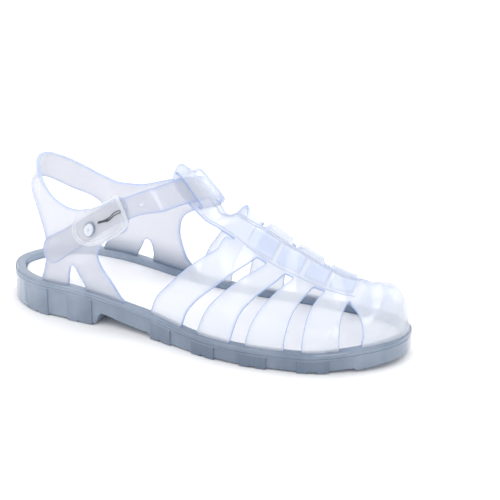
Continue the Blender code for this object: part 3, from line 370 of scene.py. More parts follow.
# Turns and heights searched there: start, end, count
CROSSING = (156, 204, 49), (0.58, 1.34, 39)
STRAP_LIFT = ((150, 0), (166, SADDLE_LIFT), (192, SADDLE_LIFT), (212, TAIL_LIFT),
              (320, TAIL_LIFT))
TURN_MM, RISE_MM = 0.62, 68.0
WALL_TAPER = (140.0, 156.0)     # turns over which the counter's wall thins to the strap


def pattern(rows, reach=1.0):
    """Rows of (share of length, arc share) as pattern points in millimetres."""
    out = []
    for s, v in rows:
        x, y = s * SOLE_LENGTH - DOME_X, v * PATTERN_HALF * (reach if abs(v) >= 1 else 1.0)
        limit = PATTERN_HALF * reach
        fit = min(1.0, limit / max(np.hypot(x, y), 1e-6)) if x > 0 else 1.0
        out.append((x * fit, y * fit))
    return out


def curve_rows(rows):
    """Smooth run through pattern rows, corners only at its two ends."""
    return list(map(tuple, spline(pattern(rows, FOOT_SINK), 6)))


def cage_outline():
    """Closed outline of the vamp's cage, smooth along each edge, with corners between them."""
    root = (STRAPS[0][-1][1], PLAIT_SPAN[0])
    pts = curve_rows(SPINE_OUTER[:4] + (root,))[:-1]
    for k, strap in enumerate(STRAPS):
        pts += curve_rows([(rear, v) for v, rear, front in strap[::-1]])
        pts += curve_rows([(front, v) for v, rear, front in strap])
        if k < 3:
            pts += pattern([r for r in SPINE_OUTER if strap[-1][2] < r[0] < STRAPS[k + 1][-1][1] + 0.03
                            and r[0] > 0.65][:2])
    pts += pattern([SPINE_OUTER[-1]])
    pts += curve_rows([(s, v) for v, s in CAP_REAR[::-1]])
    reach = PATTERN_HALF * FOOT_SINK
    a0 = np.degrees(np.arctan2(pattern([(CAP_REAR[0][1], 0)])[0][0], -CAP_REAR[0][0] * PATTERN_HALF))
    for a in np.radians(np.linspace(a0, 180.0 - a0, 61)):
        pts.append((reach * np.sin(a), -reach * np.cos(a)))
    # an inner strap is its outer one, turned over and stretched from the spine to the foot
    span = (1.0 - INNER_ROOT) / (1.0 - SPINE_EDGE)
    turn = lambda v: 1.0 if v <= -1.0 else INNER_ROOT + (-v - SPINE_EDGE) * span
    pts += curve_rows([(s + CAP_SHIFT, turn(v)) for v, s in CAP_REAR[1:]])
    pts += pattern([(SPINE_OUTER[-1][0] + SLOT_SLANT, INNER_ROOT + 0.03)])
    for k in (3, 2, 1, 0):
        strap = STRAPS[k]
        share = lambda v: 0.3 + 0.7 * (1 + v) / 0.6     # of the shift, least at the foot
        rear_shift, front_shift = INNER_SHIFT[k]
        pts += curve_rows([(front + front_shift * share(v), turn(v)) for v, rear, front in strap[::-1]])
        pts += curve_rows([(rear + rear_shift * share(v), turn(v)) for v, rear, front in strap])
        if k:
            pts += pattern([(strap[-1][1] + rear_shift + SLOT_SLANT, INNER_ROOT),
                            (STRAPS[k - 1][-1][2] + INNER_SHIFT[k - 1][1] + SLOT_SLANT, INNER_ROOT)])
    pts += curve_rows(SPINE_INNER[::-1]) + curve_rows(TAB)
    return np.array(pts)


# Counter with the sling and the ankle strap: turn in degrees and share of height
COUNTER = (
    (-136, -0.02), (-132, 0.035), (-124, 0.18), (-118, 0.27), (-113.5, 0.365), (-111.5, 0.45),
    (-113, 0.53), (-118.5, 0.6), (-128, 0.655), (-138, 0.695), (-138, 0.99),
    (-120, 1), (-99, 1), (-80, 1), (-60, 1), (-40, 1), (-20, 1), (0, 1),
    (20, 0.99), (38, 0.97), (58, 0.96), (80, 0.965), (100, 0.95), (120, 0.93),
    (140, 0.925), (155, 0.945), (168, 0.975), (180, 0.985), (188, 0.985), (203, 0.985),
    (215, 0.988), (226, 0.995), (238, 0.985), (252, 0.955), (264, 0.9), (276, 0.83),
    (291, 0.7), (303.5, 0.56), (306.5, 0.51), (308, 0.445), (308, 0.375), (306.5, 0.315),
    (302.5, 0.275), (298.5, 0.268), (283, 0.42), (265, 0.572), (248, 0.685), (233, 0.76),
    (219, 0.797), (207, 0.825), (195, 0.835), (184, 0.835), (175, 0.84), (165, 0.8),
    (157, 0.72), (151, 0.66), (146, 0.6), (142.5, 0.53), (140.5, 0.45), (139.5, 0.38),
    (139.5, 0.28), (140.5, 0.15), (143, -0.02),
    (117, -0.02), (116.5, 0.09), (115.5, 0.16), (113.5, 0.225), (110, 0.25), (106.5, 0.22),
    (103, 0.13), (99.5, 0.05), (96.5, -0.02),
    (59, -0.02), (63, 0.14), (62.5, 0.3), (61, 0.45), (58.5, 0.555), (53, 0.62),
    (45, 0.645), (36, 0.66), (28, 0.685), (18, 0.73), (9, 0.76), (-2, 0.77),
    (-14, 0.775), (-25, 0.77), (-35, 0.745), (-43.5, 0.665), (-49, 0.57), (-51.5, 0.46),
    (-51.5, 0.29), (-49, 0.13), (-47, -0.02),
    (-71, -0.02), (-75, 0.13), (-77, 0.22), (-79, 0.275), (-81.5, 0.29), (-84.5, 0.255),
    (-88.5, 0.17), (-93.5, 0.075), (-98, -0.02))
# Pin holes along the ankle strap: turn and height share
PIN_HOLES = ((209.5, 0.895), (220, 0.888), (230.5, 0.876), (241, 0.855))
PIN_HOLE_RADIUS = 0.75

# Buckle plate over the strap: turn in degrees and share of height, outer side negative
BUCKLE = (
    (-88.2, 0.8), (-88.8, 0.87), (-91.3, 0.93), (-96, 0.98), (-102.5, 1.013), (-111, 1.028),
    (-120, 1.038), (-128, 1.046), (-134.2, 1.05), (-136.8, 1), (-139.2, 0.925),
    (-141.2, 0.84), (-142, 0.75), (-136.2, 0.69), (-128, 0.648), (-118, 0.618),
    (-107.6, 0.605), (-98.7, 0.622), (-92.2, 0.675), (-89, 0.74))
BUCKLE_UNDER = TAIL_LIFT + 0.5
BUCKLE_TOP = BUCKLE_UNDER + 1.4
PLATE_GRID = 1.2
# Rims of the plate: distance from its edge and rise over its floor
BUCKLE_RIMS = ((0, 1), (0.35, 1.5), (0.9, 1.6), (1.35, 1.2), (1.65, 0.9), (1.95, 1.2),
               (2.4, 1.6), (2.9, 1.5), (3.4, 0.2), (3.8, 0))
# Stud: turn, height share, half width and half height, rise; then its profile from the dimple
# in its crown to its foot: share of its radius, share of its rise
STUD = (-107.3, 0.79, 4.2, 5.6, 2.6)
STUD_PROFILE = ((0.12, 0.97), (0.17, 0.93), (0.22, 0.96), (0.38, 0.99), (0.58, 0.93), (0.76, 0.82),
                (0.88, 0.66), (0.95, 0.48), (0.985, 0.28), (1, 0.08), (0.98, 0))
# Prong: turn, height share, lift over the plate's floor; then the turns where its flat foot
# starts and ends, and the half spread and the radius of its hairpin
PRONG = ((-114.8, 0.842, 1.3), (-122, 0.843, 1.3), (-128, 0.847, 1.3), (-131, 0.865, 1.9),
         (-134, 0.883, 2.7), (-137.5, 0.89, 3.3))
PRONG_FOOT, PRONG_SPREAD, PRONG_WIRE, FOOT_WIRE = (-118, -125.5), 0.78, 0.32, 0.75
KEEPER = (176.3, 6.9)     # turn and half width in degrees
KEEPER_WALL, KEEPER_SINK = 1.6, 0.4
# Across the keeper: share of its half width, rise; two ridges, one along its front edge
KEEPER_RIDGES = ((-1, -0.35), (-0.97, 0), (-0.9, 0.45), (-0.78, 0.45), (-0.68, 0),
                 (-0.45, 0), (-0.3, 0), (-0.22, 0.35), (-0.1, 0.5), (0.02, 0.35), (0.12, 0),
                 (0.3, 0), (0.6, 0), (0.88, 0), (0.97, -0.1), (1, -0.35))


def resample(loop, spacing):
    """Points along a closed polygon at an even spacing."""
    step = np.linalg.norm(np.roll(loop, -1, 0) - loop, axis=1)
    run = np.concatenate([[0.0], np.cumsum(step)])
    closed_loop = np.vstack([loop, loop[:1]])
    at = np.linspace(0.0, run[-1], max(8, int(run[-1] / spacing)), endpoint=False)
    return np.stack([np.interp(at, run, closed_loop[:, k]) for k in (0, 1)], 1)


def rounded(loop, radius, spacing):
    """An even closed loop with its corners rounded off."""
    fine = resample(loop, 0.25)
    reach = int(3 * radius / 0.25)
    w = np.exp(-0.5 * (np.arange(-reach, reach + 1) * 0.25 / radius) ** 2)
    w /= w.sum()
    soft = sum(np.roll(fine, -k, 0) * w[k + reach] for k in range(-reach, reach + 1))
    return resample(soft, spacing)


def ankle_loop(rows, spacing):
    """Smooth closed outline through rows of (turn, height share), unrolled to millimetres."""
    unrolled = [(t * TURN_MM, h * RISE_MM) for t, h in rows]
    return rounded(spline(unrolled, 6, closed=True), ANKLE_CORNER, spacing)


def turn_and_height(flat):
    return flat[:, 0] / TURN_MM, flat[:, 1] / RISE_MM


def inside(loop, pts):
    x, y = pts[:, 0], pts[:, 1]
    hit = np.zeros(len(pts), bool)
    for (ax, ay), (bx, by) in zip(loop, np.roll(loop, -1, 0)):
        if ay != by:
            hit ^= ((ay > y) != (by > y)) & (x < (bx - ax) * (y - ay) / (by - ay) + ax)
    return hit


def edge_distance(loops, pts):
    best = np.full(len(pts), 1e9)
    for loop in loops:
        for a, b in zip(loop, np.roll(loop, -1, 0)):
            d = b - a
            t = np.clip(((pts - a) @ d) / max(d @ d, 1e-12), 0, 1)
            best = np.minimum(best, np.linalg.norm(pts - (a + t[:, None] * d), axis=1))
    return best


def offset_points(loop, distance):
    """Points of a loop moved by a distance to both sides of it."""
    t = np.roll(loop, -1, 0) - np.roll(loop, 1, 0)
    t /= np.maximum(np.linalg.norm(t, axis=1), 1e-9)[:, None]
    n = np.stack([-t[:, 1], t[:, 0]], 1)
    return np.vstack([loop + n * distance, loop - n * distance])


# Clearances in the flat mesh: of a row from the edge as a share of its distance, and of the
# fill from the rows and from the creases as shares of its spacing
ROW_CLEAR, FILL_CLEAR, CREASE_CLEAR = 0.93, 0.45, 0.35


def flat_mesh(loops, rows, spacing, creases=()):
    """Triangles inside the first loop and outside the others, with rows of points at set
    distances from every edge, crease loops kept, and an even fill."""
    within = lambda p: inside(loops[0], p) & ~sum((inside(h, p) for h in loops[1:]), np.zeros(len(p), bool))
    extra = []
    for d in rows:
        pts = np.vstack([offset_points(loop, d) for loop in loops])
        pts = pts[within(pts)]
        extra.append(pts[edge_distance(loops, pts) > d * ROW_CLEAR])
    lo, hi = loops[0].min(0), loops[0].max(0)
    gx = np.arange(lo[0], hi[0] + spacing, spacing)
    gy = np.arange(lo[1], hi[1] + spacing, spacing * 0.866)
    grid = np.array([(x + (spacing / 2 if j % 2 else 0.0), y) for j, y in enumerate(gy) for x in gx])
    grid = grid[within(grid)]
    grid = grid[edge_distance(loops, grid) > max(rows) + FILL_CLEAR * spacing]
    for c in creases:
        near = (grid > c.min(0) - spacing).all(1) & (grid < c.max(0) + spacing).all(1)
        far = np.ones(len(grid), bool)
        far[near] = edge_distance([c], grid[near]) > CREASE_CLEAR * spacing
        grid = grid[far]
    verts, edges = [], []
    for loop in list(loops) + list(creases):
        base = len(verts)
        verts += [Vector(p) for p in loop]
        edges += [(base + i, base + (i + 1) % len(loop)) for i in range(len(loop))]
    verts += [Vector(p) for p in np.vstack(extra + [grid])]
    flat, _, tris, *_ = delaunay_2d_cdt(verts, edges, [], 0, 1e-4)
    flat, tris = np.array([tuple(p) for p in flat]), np.array([tuple(t) for t in tris])
    a, b, c = flat[tris[:, 0]], flat[tris[:, 1]], flat[tris[:, 2]]
    area = (b[:, 0] - a[:, 0]) * (c[:, 1] - a[:, 1]) - (b[:, 1] - a[:, 1]) * (c[:, 0] - a[:, 0])
    tris = tris[within((a + b + c) / 3) & (np.abs(area) > 1e-4)]
    used, index = np.unique(tris, return_inverse=True)
    return flat[used], index.reshape(-1, 3), edge_distance(loops, flat[used])


# Blue of the clear wall: how far in from an edge it reaches, on the straps and on the buckle's
# plate, its shares on the spine and the loops, the share of blue painted shade on the top of the toe,
# and the share, height and share on the outer side of the sole's colour painted as shade at the foot of the
# side panels
EDGE_TINT, PLATE_TINT = 1.15, 2.9
SPINE_BLUE, PLAIT_BLUE, TOE_PAINTED_SHADE = 0.32, 0.55, 0.35
FOOT_PAINTED_SOLE_SHADE = (1.0, 0.28, 0.3)


def linked(name, data):
    """A new object in the scene."""
    obj = bpy.data.objects.new(name, data)
    bpy.context.scene.collection.objects.link(obj)
    return obj


def make_object(name, verts, faces, material, masks=None, sharp=None):
    """Object with its place in its mesh, smooth shaded, with named vertex masks."""
    mesh = bpy.data.meshes.new(name)
    mesh.from_pydata([tuple(v) for v in (np.asarray(verts, float) - CENTRE) * MM], [],
                     [tuple(int(i) for i in f) for f in faces])
    mesh.validate()
    for key, values in (masks or {}).items():
        mesh.attributes.new(key, "FLOAT", "POINT").data.foreach_set("value", np.asarray(values, "f"))
    mesh.shade_smooth()
    if sharp:
        mesh.set_sharp_from_angle(angle=math.radians(sharp))
    mesh.materials.append(materials()[material])
    return linked(name, mesh)


def ring_faces(rings, count):
    """Quads between closed rings of `count` points each."""
    return [(k + i, k + (i + 1) % count, k + count + (i + 1) % count, k + count + i)
            for k in range(0, (rings - 1) * count, count) for i in range(count)]


def capped_rings(rings, count):
    """Quads between closed rings, with one flat face over each end."""
    last = (rings - 1) * count
    return ring_faces(rings, count) + [tuple(range(count))[::-1], tuple(range(last, last + count))]


def faces_out(verts, faces):
    """The same faces, turned so that they point outwards."""
    verts = np.asarray(verts, float)
    size = sum(np.dot(verts[f[0]], np.cross(verts[f[k]], verts[f[k + 1]]))
               for f in faces for k in range(1, len(f) - 1))
    return [tuple(f[::-1]) for f in faces] if size < 0 else faces


def shell_object(name, tris, edge, outer, inner, material, tint=EDGE_TINT, **masks):
    """Closed moulded wall from the triangles of a flat mesh and its outer and inner points."""
    n = len(outer)
    sides = {side: None for t in tris for side in ((t[0], t[1]), (t[1], t[2]), (t[2], t[0]))}
    faces = [tuple(t) for t in tris] + [(t[2] + n, t[1] + n, t[0] + n) for t in tris]
    faces += [(b, a, a + n, b + n) for a, b in sides if (b, a) not in sides]
    verts = np.vstack([outer, inner])
    masks["edge"] = np.clip(1.0 - edge / tint, 0, 1)
    return make_object(name, verts, faces_out(verts, faces), material,
                       {key: np.tile(mask, 2) for key, mask in masks.items()})


def rounding(edge, radius):
    """How far a face drops towards its edge, for a rounded edge of that radius."""
    x = np.clip(radius - edge, 0, radius)
    return radius - np.sqrt(np.maximum(radius ** 2 - x ** 2, 0))


def edge_rows(radius):
    """Rows of points along a rounded edge."""
    return [share * radius for share in (0.134, 0.5, 1.0)]


def near_ankle(points):
    """Turn and height of the ankle surface's points next to the given ones."""
    T, H = np.meshgrid(*(np.linspace(*span) for span in CROSSING), indexing="ij")
    T, H = T.ravel(), H.ravel()
    grid = ankle(T, H)
    k = np.array([np.argmin(((grid - p) ** 2).sum(1)) for p in points])
    t, h = T[k], H[k]
    for _ in range(4):
        across = ankle(t + 0.5, h) - ankle(t - 0.5, h)
        upwards = (ankle(t, h + 0.005) - ankle(t, h - 0.005)) / 0.01
        rest = points - ankle(t, h)
        aa, ab, bb = (across ** 2).sum(1), (across * upwards).sum(1), (upwards ** 2).sum(1)
        ra, rb = (rest * across).sum(1), (rest * upwards).sum(1)
        det = aa * bb - ab * ab
        t = np.clip(t + (bb * ra - ab * rb) / det, 150, 210)
        h = np.clip(h + (aa * rb - ab * ra) / det, 0.5, 1.4)
    return t, h


def under_strap(points):
    """Moves points of the T-bar down where the ankle strap crosses over it."""
    at = np.where((points[:, 0] < SADDLE_BOX[0] * SOLE_LENGTH)
                  & (np.abs(points[:, 1]) < SADDLE_BOX[1] * HALF_BALL)
                  & (points[:, 2] > SADDLE_BOX[2] * VAMP_HEIGHT))[0]
    T, H = near_ankle(points[at])
    base, n = ankle(T, H), ankle_normals(T, H)
    height = ((points[at] - base) * n).sum(1)
    goal = smooth(STRAP_LIFT, T) - STRAP_THICK - SADDLE_GAP
    goal = goal + TAB_FLARE * np.clip((H - TAB_CURL[0]) / TAB_CURL[1], 0, 1)
    w = ease(1 - np.clip((TAB_FADE[0] - H) / TAB_FADE[1], 0, 1))
    out = points.copy()
    out[at] += n * ((goal - height) * w)[:, None]
    return out


def pads():
    """Raised pads of the spine: pattern rectangle, rise, and ramp lengths to both sides."""
    out = []
    for a, b in PLAITS:
        out.append((pattern(list(zip((a, b), PLAIT_SPAN))), PLAIT_RISE, (RAMP, RAMP)))
    for strap, (rear_shift, front_shift) in zip(STRAPS[1:], INNER_SHIFT[1:]):
        rear = strap[-1][1] + rear_shift + SLOT_SLANT + LOOP_INSET
        front = strap[-1][2] + front_shift - LOOP_INSET
        out.append((pattern(list(zip((rear, front), LOOP_REACH))), LOOP_RISE, (RAMP, LOOP_RAMP)))
    return out


def raised(flat):
    up = np.zeros(len(flat))
    for (lo, hi), rise, (near, far) in pads():
        dx = np.maximum(np.maximum(lo[0] - flat[:, 0], flat[:, 0] - hi[0]), 0) / RAMP
        dy = np.maximum(np.maximum((lo[1] - flat[:, 1]) / near, (flat[:, 1] - hi[1]) / far), 0)
        up = np.maximum(up, rise * ease(1 - np.hypot(dx, dy)))
    return up


def pad_creases():
    """Loops of mesh edges at the foot, the middle and the top of each pad's ramp."""
    out = []
    for (lo, hi), rise, (near, far) in pads():
        for k in (0.0, 0.5, 1.0):
            a, b = (RAMP * k, near * k), (RAMP * k, far * k)
            box = np.array([(lo[0] - a[0], lo[1] - a[1]), (hi[0] + a[0], lo[1] - a[1]),
                            (hi[0] + b[0], hi[1] + b[1]), (lo[0] - b[0], hi[1] + b[1])])
            out.append(resample(box, OUTLINE_STEP))
    return out


def linear(code):
    """An sRGB hex colour as linear RGBA."""
    rgb = [int(code[i:i + 2], 16) / 255 for i in (0, 2, 4)]
    return tuple(c / 12.92 if c <= 0.04045 else ((c + 0.055) / 1.055) ** 2.4 for c in rgb) + (1.0,)


def colour_prop(name, code, description):
    return bpy.props.FloatVectorProperty(name=name, description=description, subtype="COLOR", size=4,
                                         min=0, max=1, default=linear(code))


def length_prop(name, value, description):
    return bpy.props.FloatProperty(name=name, description=description, default=value, min=0,
                                   unit="LENGTH", precision=5)


class SandalSizes(bpy.types.PropertyGroup):
    edge: length_prop("Edge radius", 0.0006, "Rounding of the moulded edges")
    grid: length_prop("Surface spacing", 0.0016, "Distance between points on the straps")
    rail: length_prop("Rail radius", 0.00035, "Radius of the fine rails along the spine")


class SandalColours(bpy.types.PropertyGroup):
    upper: colour_prop("Upper", "E8ECF4", "Clear PVC of the straps")
    # painted shade: the side panels and the sling get a darker copy of the straps' clear PVC colour
    counter: colour_prop("Counter", "CFD2DE", "Clear PVC of the side panels and the sling")
    plate: colour_prop("Buckle plate", "F4F6FA", "Hard clear plastic of the buckle")
    edge: colour_prop("Edges", "9AB4E6", "Blue that clear PVC shows along its edges")
    sole: colour_prop("Sole", "ABBACE", "Clear PVC of the sole")
    block: colour_prop("Sole blocks", "75879F", "Clear PVC where the sole is thickest")
    footbed: colour_prop("Footbed", "FAFAFC", "White footbed")
    stud: colour_prop("Stud", "DDE2EC", "Milky stud of the buckle")
    # painted shade round the foot of the stud, and in part in its dimple
    stud_painted_shade: colour_prop("Side of the stud", "8592AA", "Foot of the stud, where light runs out of it")
    prong: colour_prop("Prong", "55585E", "Dark wire of the buckle")
    floor: colour_prop("Floor", "FBFBFC", "Floor of the studio")


class SandalStage(bpy.types.PropertyGroup):
    azimuth: bpy.props.FloatProperty(name="Azimuth", description="Turn of the camera to the heel side",
                                     default=math.radians(26.66), subtype="ANGLE")
    elevation: bpy.props.FloatProperty(name="Elevation", description="Camera height as an angle",
                                       default=math.radians(23.9), subtype="ANGLE")
    distance: length_prop("Distance", 0.82297, "Camera to the target")
    key: bpy.props.FloatProperty(name="Key light", description="Power of the key light", default=9.0,
                                 min=0, unit="POWER")


def feed(tree, node, inputs):
    """Sets a node's inputs; one given as a socket is linked."""
    for key, value in inputs.items():
        if isinstance(value, bpy.types.NodeSocket):
            tree.links.new(value, node.inputs[key])
        else:
            node.inputs[key].default_value = value
    return node


def add_node(tree, kind, inputs, output=0, **settings):
    """Adds a node of the tree's own family and returns one of its outputs."""
    node = tree.nodes.new(tree.bl_idname.replace("Tree", kind))
    for key, value in settings.items():
        setattr(node, key, value)
    return feed(tree, node, inputs).outputs[output]


def vertex_mask(tree, name):
    return add_node(tree, "Attribute", {}, "Fac", attribute_name=name)


def maths(tree, operation, *values, clamp=False):
    return add_node(tree, "Math", dict(enumerate(values)), operation=operation, use_clamp=clamp)


def remap(tree, value, start, end, low, high, curve="LINEAR"):
    return add_node(tree, "MapRange", {0: value, 1: start, 2: end, 3: low, 4: high},
                    interpolation_type=curve)


def mixed(tree, share, low, high):
    return add_node(tree, "Mix", {0: share, 6: low, 7: high}, 2, data_type="RGBA")


def noise(tree, place, scale, detail=2.0):
    return add_node(tree, "TexNoise", {"Vector": place, "Scale": scale, "Detail": detail})


def bumped(tree, height, strength, distance):
    return add_node(tree, "Bump", {"Height": height, "Strength": strength, "Distance": distance})


def new_material(name):
    """A material's node tree, its shader and the object coordinates."""
    mat = bpy.data.materials.new(name)
    mat.use_nodes = True
    tree = mat.node_tree
    return tree, tree.nodes["Principled BSDF"], add_node(tree, "TexCoord", {}, "Object")


def clear_pvc(name, body, edge, foot, transmission, roughness, alpha):
    """Soft PVC with no pigment, injection moulded in a polished mould: glossy, milky where light
    crosses the wall, and blue along the edges, where it runs the long way through the wall.
    Where a wall grows out of the sole, the sole's slate colour is painted up into its foot: painted shade
    of the dark sole seen through the wall."""
    tree, shader, place = new_material(name)
    # the foot mask carries the painted shade of the sole at the foot of the walls
    rim, low = maths(tree, "POWER", vertex_mask(tree, "edge"), 1.6), vertex_mask(tree, "foot")
    feed(tree, shader, {
        "Base Color": mixed(tree, low, mixed(tree, rim, body, edge), foot),
        "Normal": bumped(tree, noise(tree, place, 55.0), 0.3, 0.0006),
        "Roughness": roughness, "IOR": PVC_IOR, "Transmission Weight": transmission,
        "Coat Weight": 0.4, "Coat Roughness": 0.09,
        "Alpha": remap(tree, maths(tree, "ADD", rim, low), 0.0, 1.0, alpha, min(1.0, alpha + 0.3))})


def sole_pvc(colours):
    """The same PVC, 10 to 20 mm thick: slate blue, with denser blocks, darker from the heel towards the
    forefoot and lighter again at the toe's tip, and with vertical streaks of painted highlight and shade.
    """
    tree, shader, place = new_material("clear_pvc_sole")
    stretched = add_node(tree, "Mapping", {"Vector": place, "Scale": (1.0, 1.0, 0.25)})
    # painted highlight and shade: noise stretched upright into vertical streaks
    painted_light_streak = maths(tree, "MULTIPLY_ADD", noise(tree, stretched, 70.0, 3.0), 0.9, -0.45)
    along = add_node(tree, "SeparateXYZ", {0: place}, "X")
    # darker from the heel towards the forefoot, lighter again at the toe's tip
    length = maths(tree, "ADD", remap(tree, along, -0.1, 0.06, 0.1, 0.75, "SMOOTHSTEP"),
                   remap(tree, along, 0.08, 0.122, 0.0, -0.45, "SMOOTHSTEP"))
    block_and_length_tone = maths(tree, "MULTIPLY_ADD", vertex_mask(tree, "block"), 0.3, length)
    dense = maths(tree, "ADD", block_and_length_tone, painted_light_streak, clamp=True)
    feed(tree, shader, {
        "Base Color": mixed(tree, dense, colours.sole, colours.block), "Roughness": 0.14,
        "IOR": PVC_IOR, "Transmission Weight": 0.35, "Coat Weight": 0.4, "Coat Roughness": 0.05})


def footbed_white(colours):
    """Pigmented PVC foam, die cut: white and satin, with a very fine even grain."""
    tree, shader, place = new_material("white_foam_footbed")
    feed(tree, shader, {"Base Color": colours.footbed, "Roughness": 0.5,
                        "Normal": bumped(tree, noise(tree, place, 900.0), 0.15, 0.0002)})


def wire_steel(colours):
    """Nickel-plated steel wire, drawn: dark grey with a satin gloss."""
    tree, shader, place = new_material("plated_steel_wire")
    feed(tree, shader, {"Base Color": colours.prong, "Metallic": 1.0,
                        "Roughness": remap(tree, noise(tree, place, 1500.0), 0.0, 1.0, 0.22, 0.4)})


def floor_paper(colours):
    """Matt white paper of the studio's floor."""
    tree, shader = new_material("matt_white_paper")[:2]
    feed(tree, shader, {"Base Color": colours.floor, "Roughness": 0.9, "Specular IOR Level": 0.1})


def materials():
    """The scene's materials, made once."""
    if "clear_pvc_upper" not in bpy.data.materials:
        c = bpy.context.scene.sandal_colours
        # the sole blocks' colour also serves as the painted shade of the sole at the foot of the walls
        clear_pvc("clear_pvc_upper", c.upper, c.edge, c.block, 0.25, 0.2, 0.5)
        clear_pvc("clear_pvc_keeper", c.upper, c.edge, c.block, 0.25, 0.2, 0.3)
        # painted shade: the counter's body colour is a darker copy of the upper's
        clear_pvc("clear_pvc_counter_shaded", c.counter, c.edge, c.block, 0.25, 0.2, 0.5)
        clear_pvc("clear_pvc_buckle", c.plate, c.upper, c.block, 0.25, 0.08, 0.3)
        clear_pvc("milky_pvc_stud", c.stud, c.stud_painted_shade, c.block, 0.1, 0.08, 1.0)
        sole_pvc(c)
        footbed_white(c)
        wire_steel(c)
        floor_paper(c)
    return bpy.data.materials


def place_piece(obj, node):
    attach(obj, "root")
    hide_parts(node)


def ladder_faces(verts, rings, across):
    """Faces between rings, and caps made of rows across the first and last ring."""
    count = len(rings[0])
    half = count // 2
    faces = ring_faces(len(rings), count)
    for base, flip in ((0, True), ((len(rings) - 1) * count, False)):
        rows = []
        for i in range(1, half):
            p, q = np.array(verts[base + i]), np.array(verts[base + count - i])
            row = [base + i]
            for w in np.arange(1, across) / across:
                row.append(len(verts))
                verts.append(p * (1 - w) + q * w)
            rows.append(row + [base + count - i])
        for a, b in zip(rows[:-1], rows[1:]):
            for k in range(len(a) - 1):
                quad = (a[k], b[k], b[k + 1], a[k + 1])
                faces.append(quad[::-1] if flip else quad)
        for row, tip in ((rows[0], base), (rows[-1], base + half)):
            for k in range(len(row) - 1):
                tri = (tip, row[k], row[k + 1])
                faces.append(tri if (tip != base) == flip else tri[::-1])
    return faces


def on_part(s, parts):
    return any(a <= s <= b for a, b in parts)


def sole_rows():
    """Shares of length for the rows across the sole: dense at the tips, a pair at each step."""
    even = (1 - np.cos(np.linspace(0, np.pi, 190))) / 2
    steps = [e for part in BLOCKS + NOTCHES for e in part] + [ARCH[0][0]]
    rows = [s for s in even if min(abs(s - e) for e in steps) > STEP_CLEAR]
    rows += [e + d for e in steps for d in (-STEP_PAIR, STEP_PAIR)]
    return np.array(sorted(rows))


def under_z(s):
    """Underside of the sole at share s."""
    if ARCH[0][0] < s < ARCH[-1][0]:
        return float(smooth(ARCH, s)) * ARCH_HEIGHT
    lift = TOE_SPRING * max(0.0, (s - SPRING_START) / SPRING_RUN) ** 2
    deep = on_part(s, BLOCKS) and not on_part(s, NOTCHES)
    return lift + (0.0 if deep or s > SMOOTH_TOE else LUG_DEPTH)


def sole_ring(rows, inset, height):
    """One closed ring round the sole; inset and height are called with the share."""
    ins, z = np.array([inset(s) for s in rows]), np.array([height(s) for s in rows])
    outer, _ = side_at(rows * SOLE_LENGTH, -1, ins)
    inner, _ = side_at(rows * SOLE_LENGTH, 1, ins)
    ring = [np.array([*outer[i], z[i]]) for i in range(len(rows))]
    return ring + [np.array([*inner[i], z[i]]) for i in range(len(rows) - 2, 0, -1)]


def lip(s):
    return float(rim_z(s * SOLE_LENGTH))


class SANDAL_OT_outsole(bpy.types.Operator):
    """Sole with its lip band, side blocks, lugs, arch and the recess for the footbed"""
    bl_idname = "sandal.outsole"
    bl_label = "Outsole"

    def execute(self, context):
        rows = sole_rows()
        flush = lambda s: s < BLOCKS[0][0] - 0.003 or s > SMOOTH_TOE
        step = lambda s: SIDE_INSET + (0.0 if on_part(s, BLOCKS) or flush(s) else BLOCK_STEP)
        floor = FOOTBED_DROP + FOOTBED_THICK + GAP
        # inset from the lip edge, and height over the underside or over the lip edge
        under = ((1.3, 0.0), (0.5, 0.12), (0.15, 0.45), (0.0, 1.1))
        band = ((0.0, -LIP), (0.0, -0.66 * LIP), (0.3, -0.60 * LIP), (0.3, -0.54 * LIP),
                (0.0, -0.48 * LIP), (0.0, -0.25), (0.12, 0.0), (0.5, 0.22), (0.9, 0.10),
                (1.15, 0.35), (1.6, 1.1), (SHOULDER_RUN, SHOULDER - 0.08), (2.6, SHOULDER),
                (RIM_WIDTH - 0.8, SHOULDER), (RIM_WIDTH - 0.25, SHOULDER - 0.12),
                (RIM_WIDTH, SHOULDER - 0.5), (RIM_WIDTH, -floor))
        rings = [sole_ring(rows, lambda s: step(s) + i, lambda s: under_z(s) + z) for i, z in under]
        rings.append(sole_ring(rows, step, lambda s: lip(s) - LIP - 0.5))
        rings += [sole_ring(rows, lambda s: i, lambda s: lip(s) + z) for i, z in band]
        verts = [p for ring in rings for p in ring]
        faces = ladder_faces(verts, rings, 10)
        count = len(rings[0])
        solid = np.array([1.0 if on_part(s, BLOCKS) else 0.0 for s in rows])
        around = np.concatenate([solid, solid[-2:0:-1]])
        mask = np.zeros(len(verts))
        for k in range(len(under) + 1):
            mask[k * count:(k + 1) * count] = around
        obj = make_object("outsole_moulding", verts, faces, "clear_pvc_sole",
                          {"block": mask}, 32)
        place_piece(obj, "outsole")
        return {"FINISHED"}


class SANDAL_OT_insole(bpy.types.Operator):
    """White footbed, dropped in behind the rim"""
    bl_idname = "sandal.insole"
    bl_label = "Insole"

    def execute(self, context):
        rows = (1 - np.cos(np.linspace(0, np.pi, 120))) / 2
        edge, low = RIM_WIDTH + GAP, FOOTBED_DROP + FOOTBED_THICK
        profile = ((0.0, -low), (0.0, -FOOTBED_DROP - 0.5), (0.12, -FOOTBED_DROP - 0.2),
                   (0.45, -FOOTBED_DROP - 0.03), (1.0, -FOOTBED_DROP))
        rings = [sole_ring(rows, lambda s: edge + i, lambda s: lip(s) + z) for i, z in profile]
        verts = [p for ring in rings for p in ring]
        faces = ladder_faces(verts, rings, 16)
        obj = make_object("footbed", verts, faces, "white_foam_footbed", None, 40)
        place_piece(obj, "insole")
        return {"FINISHED"}


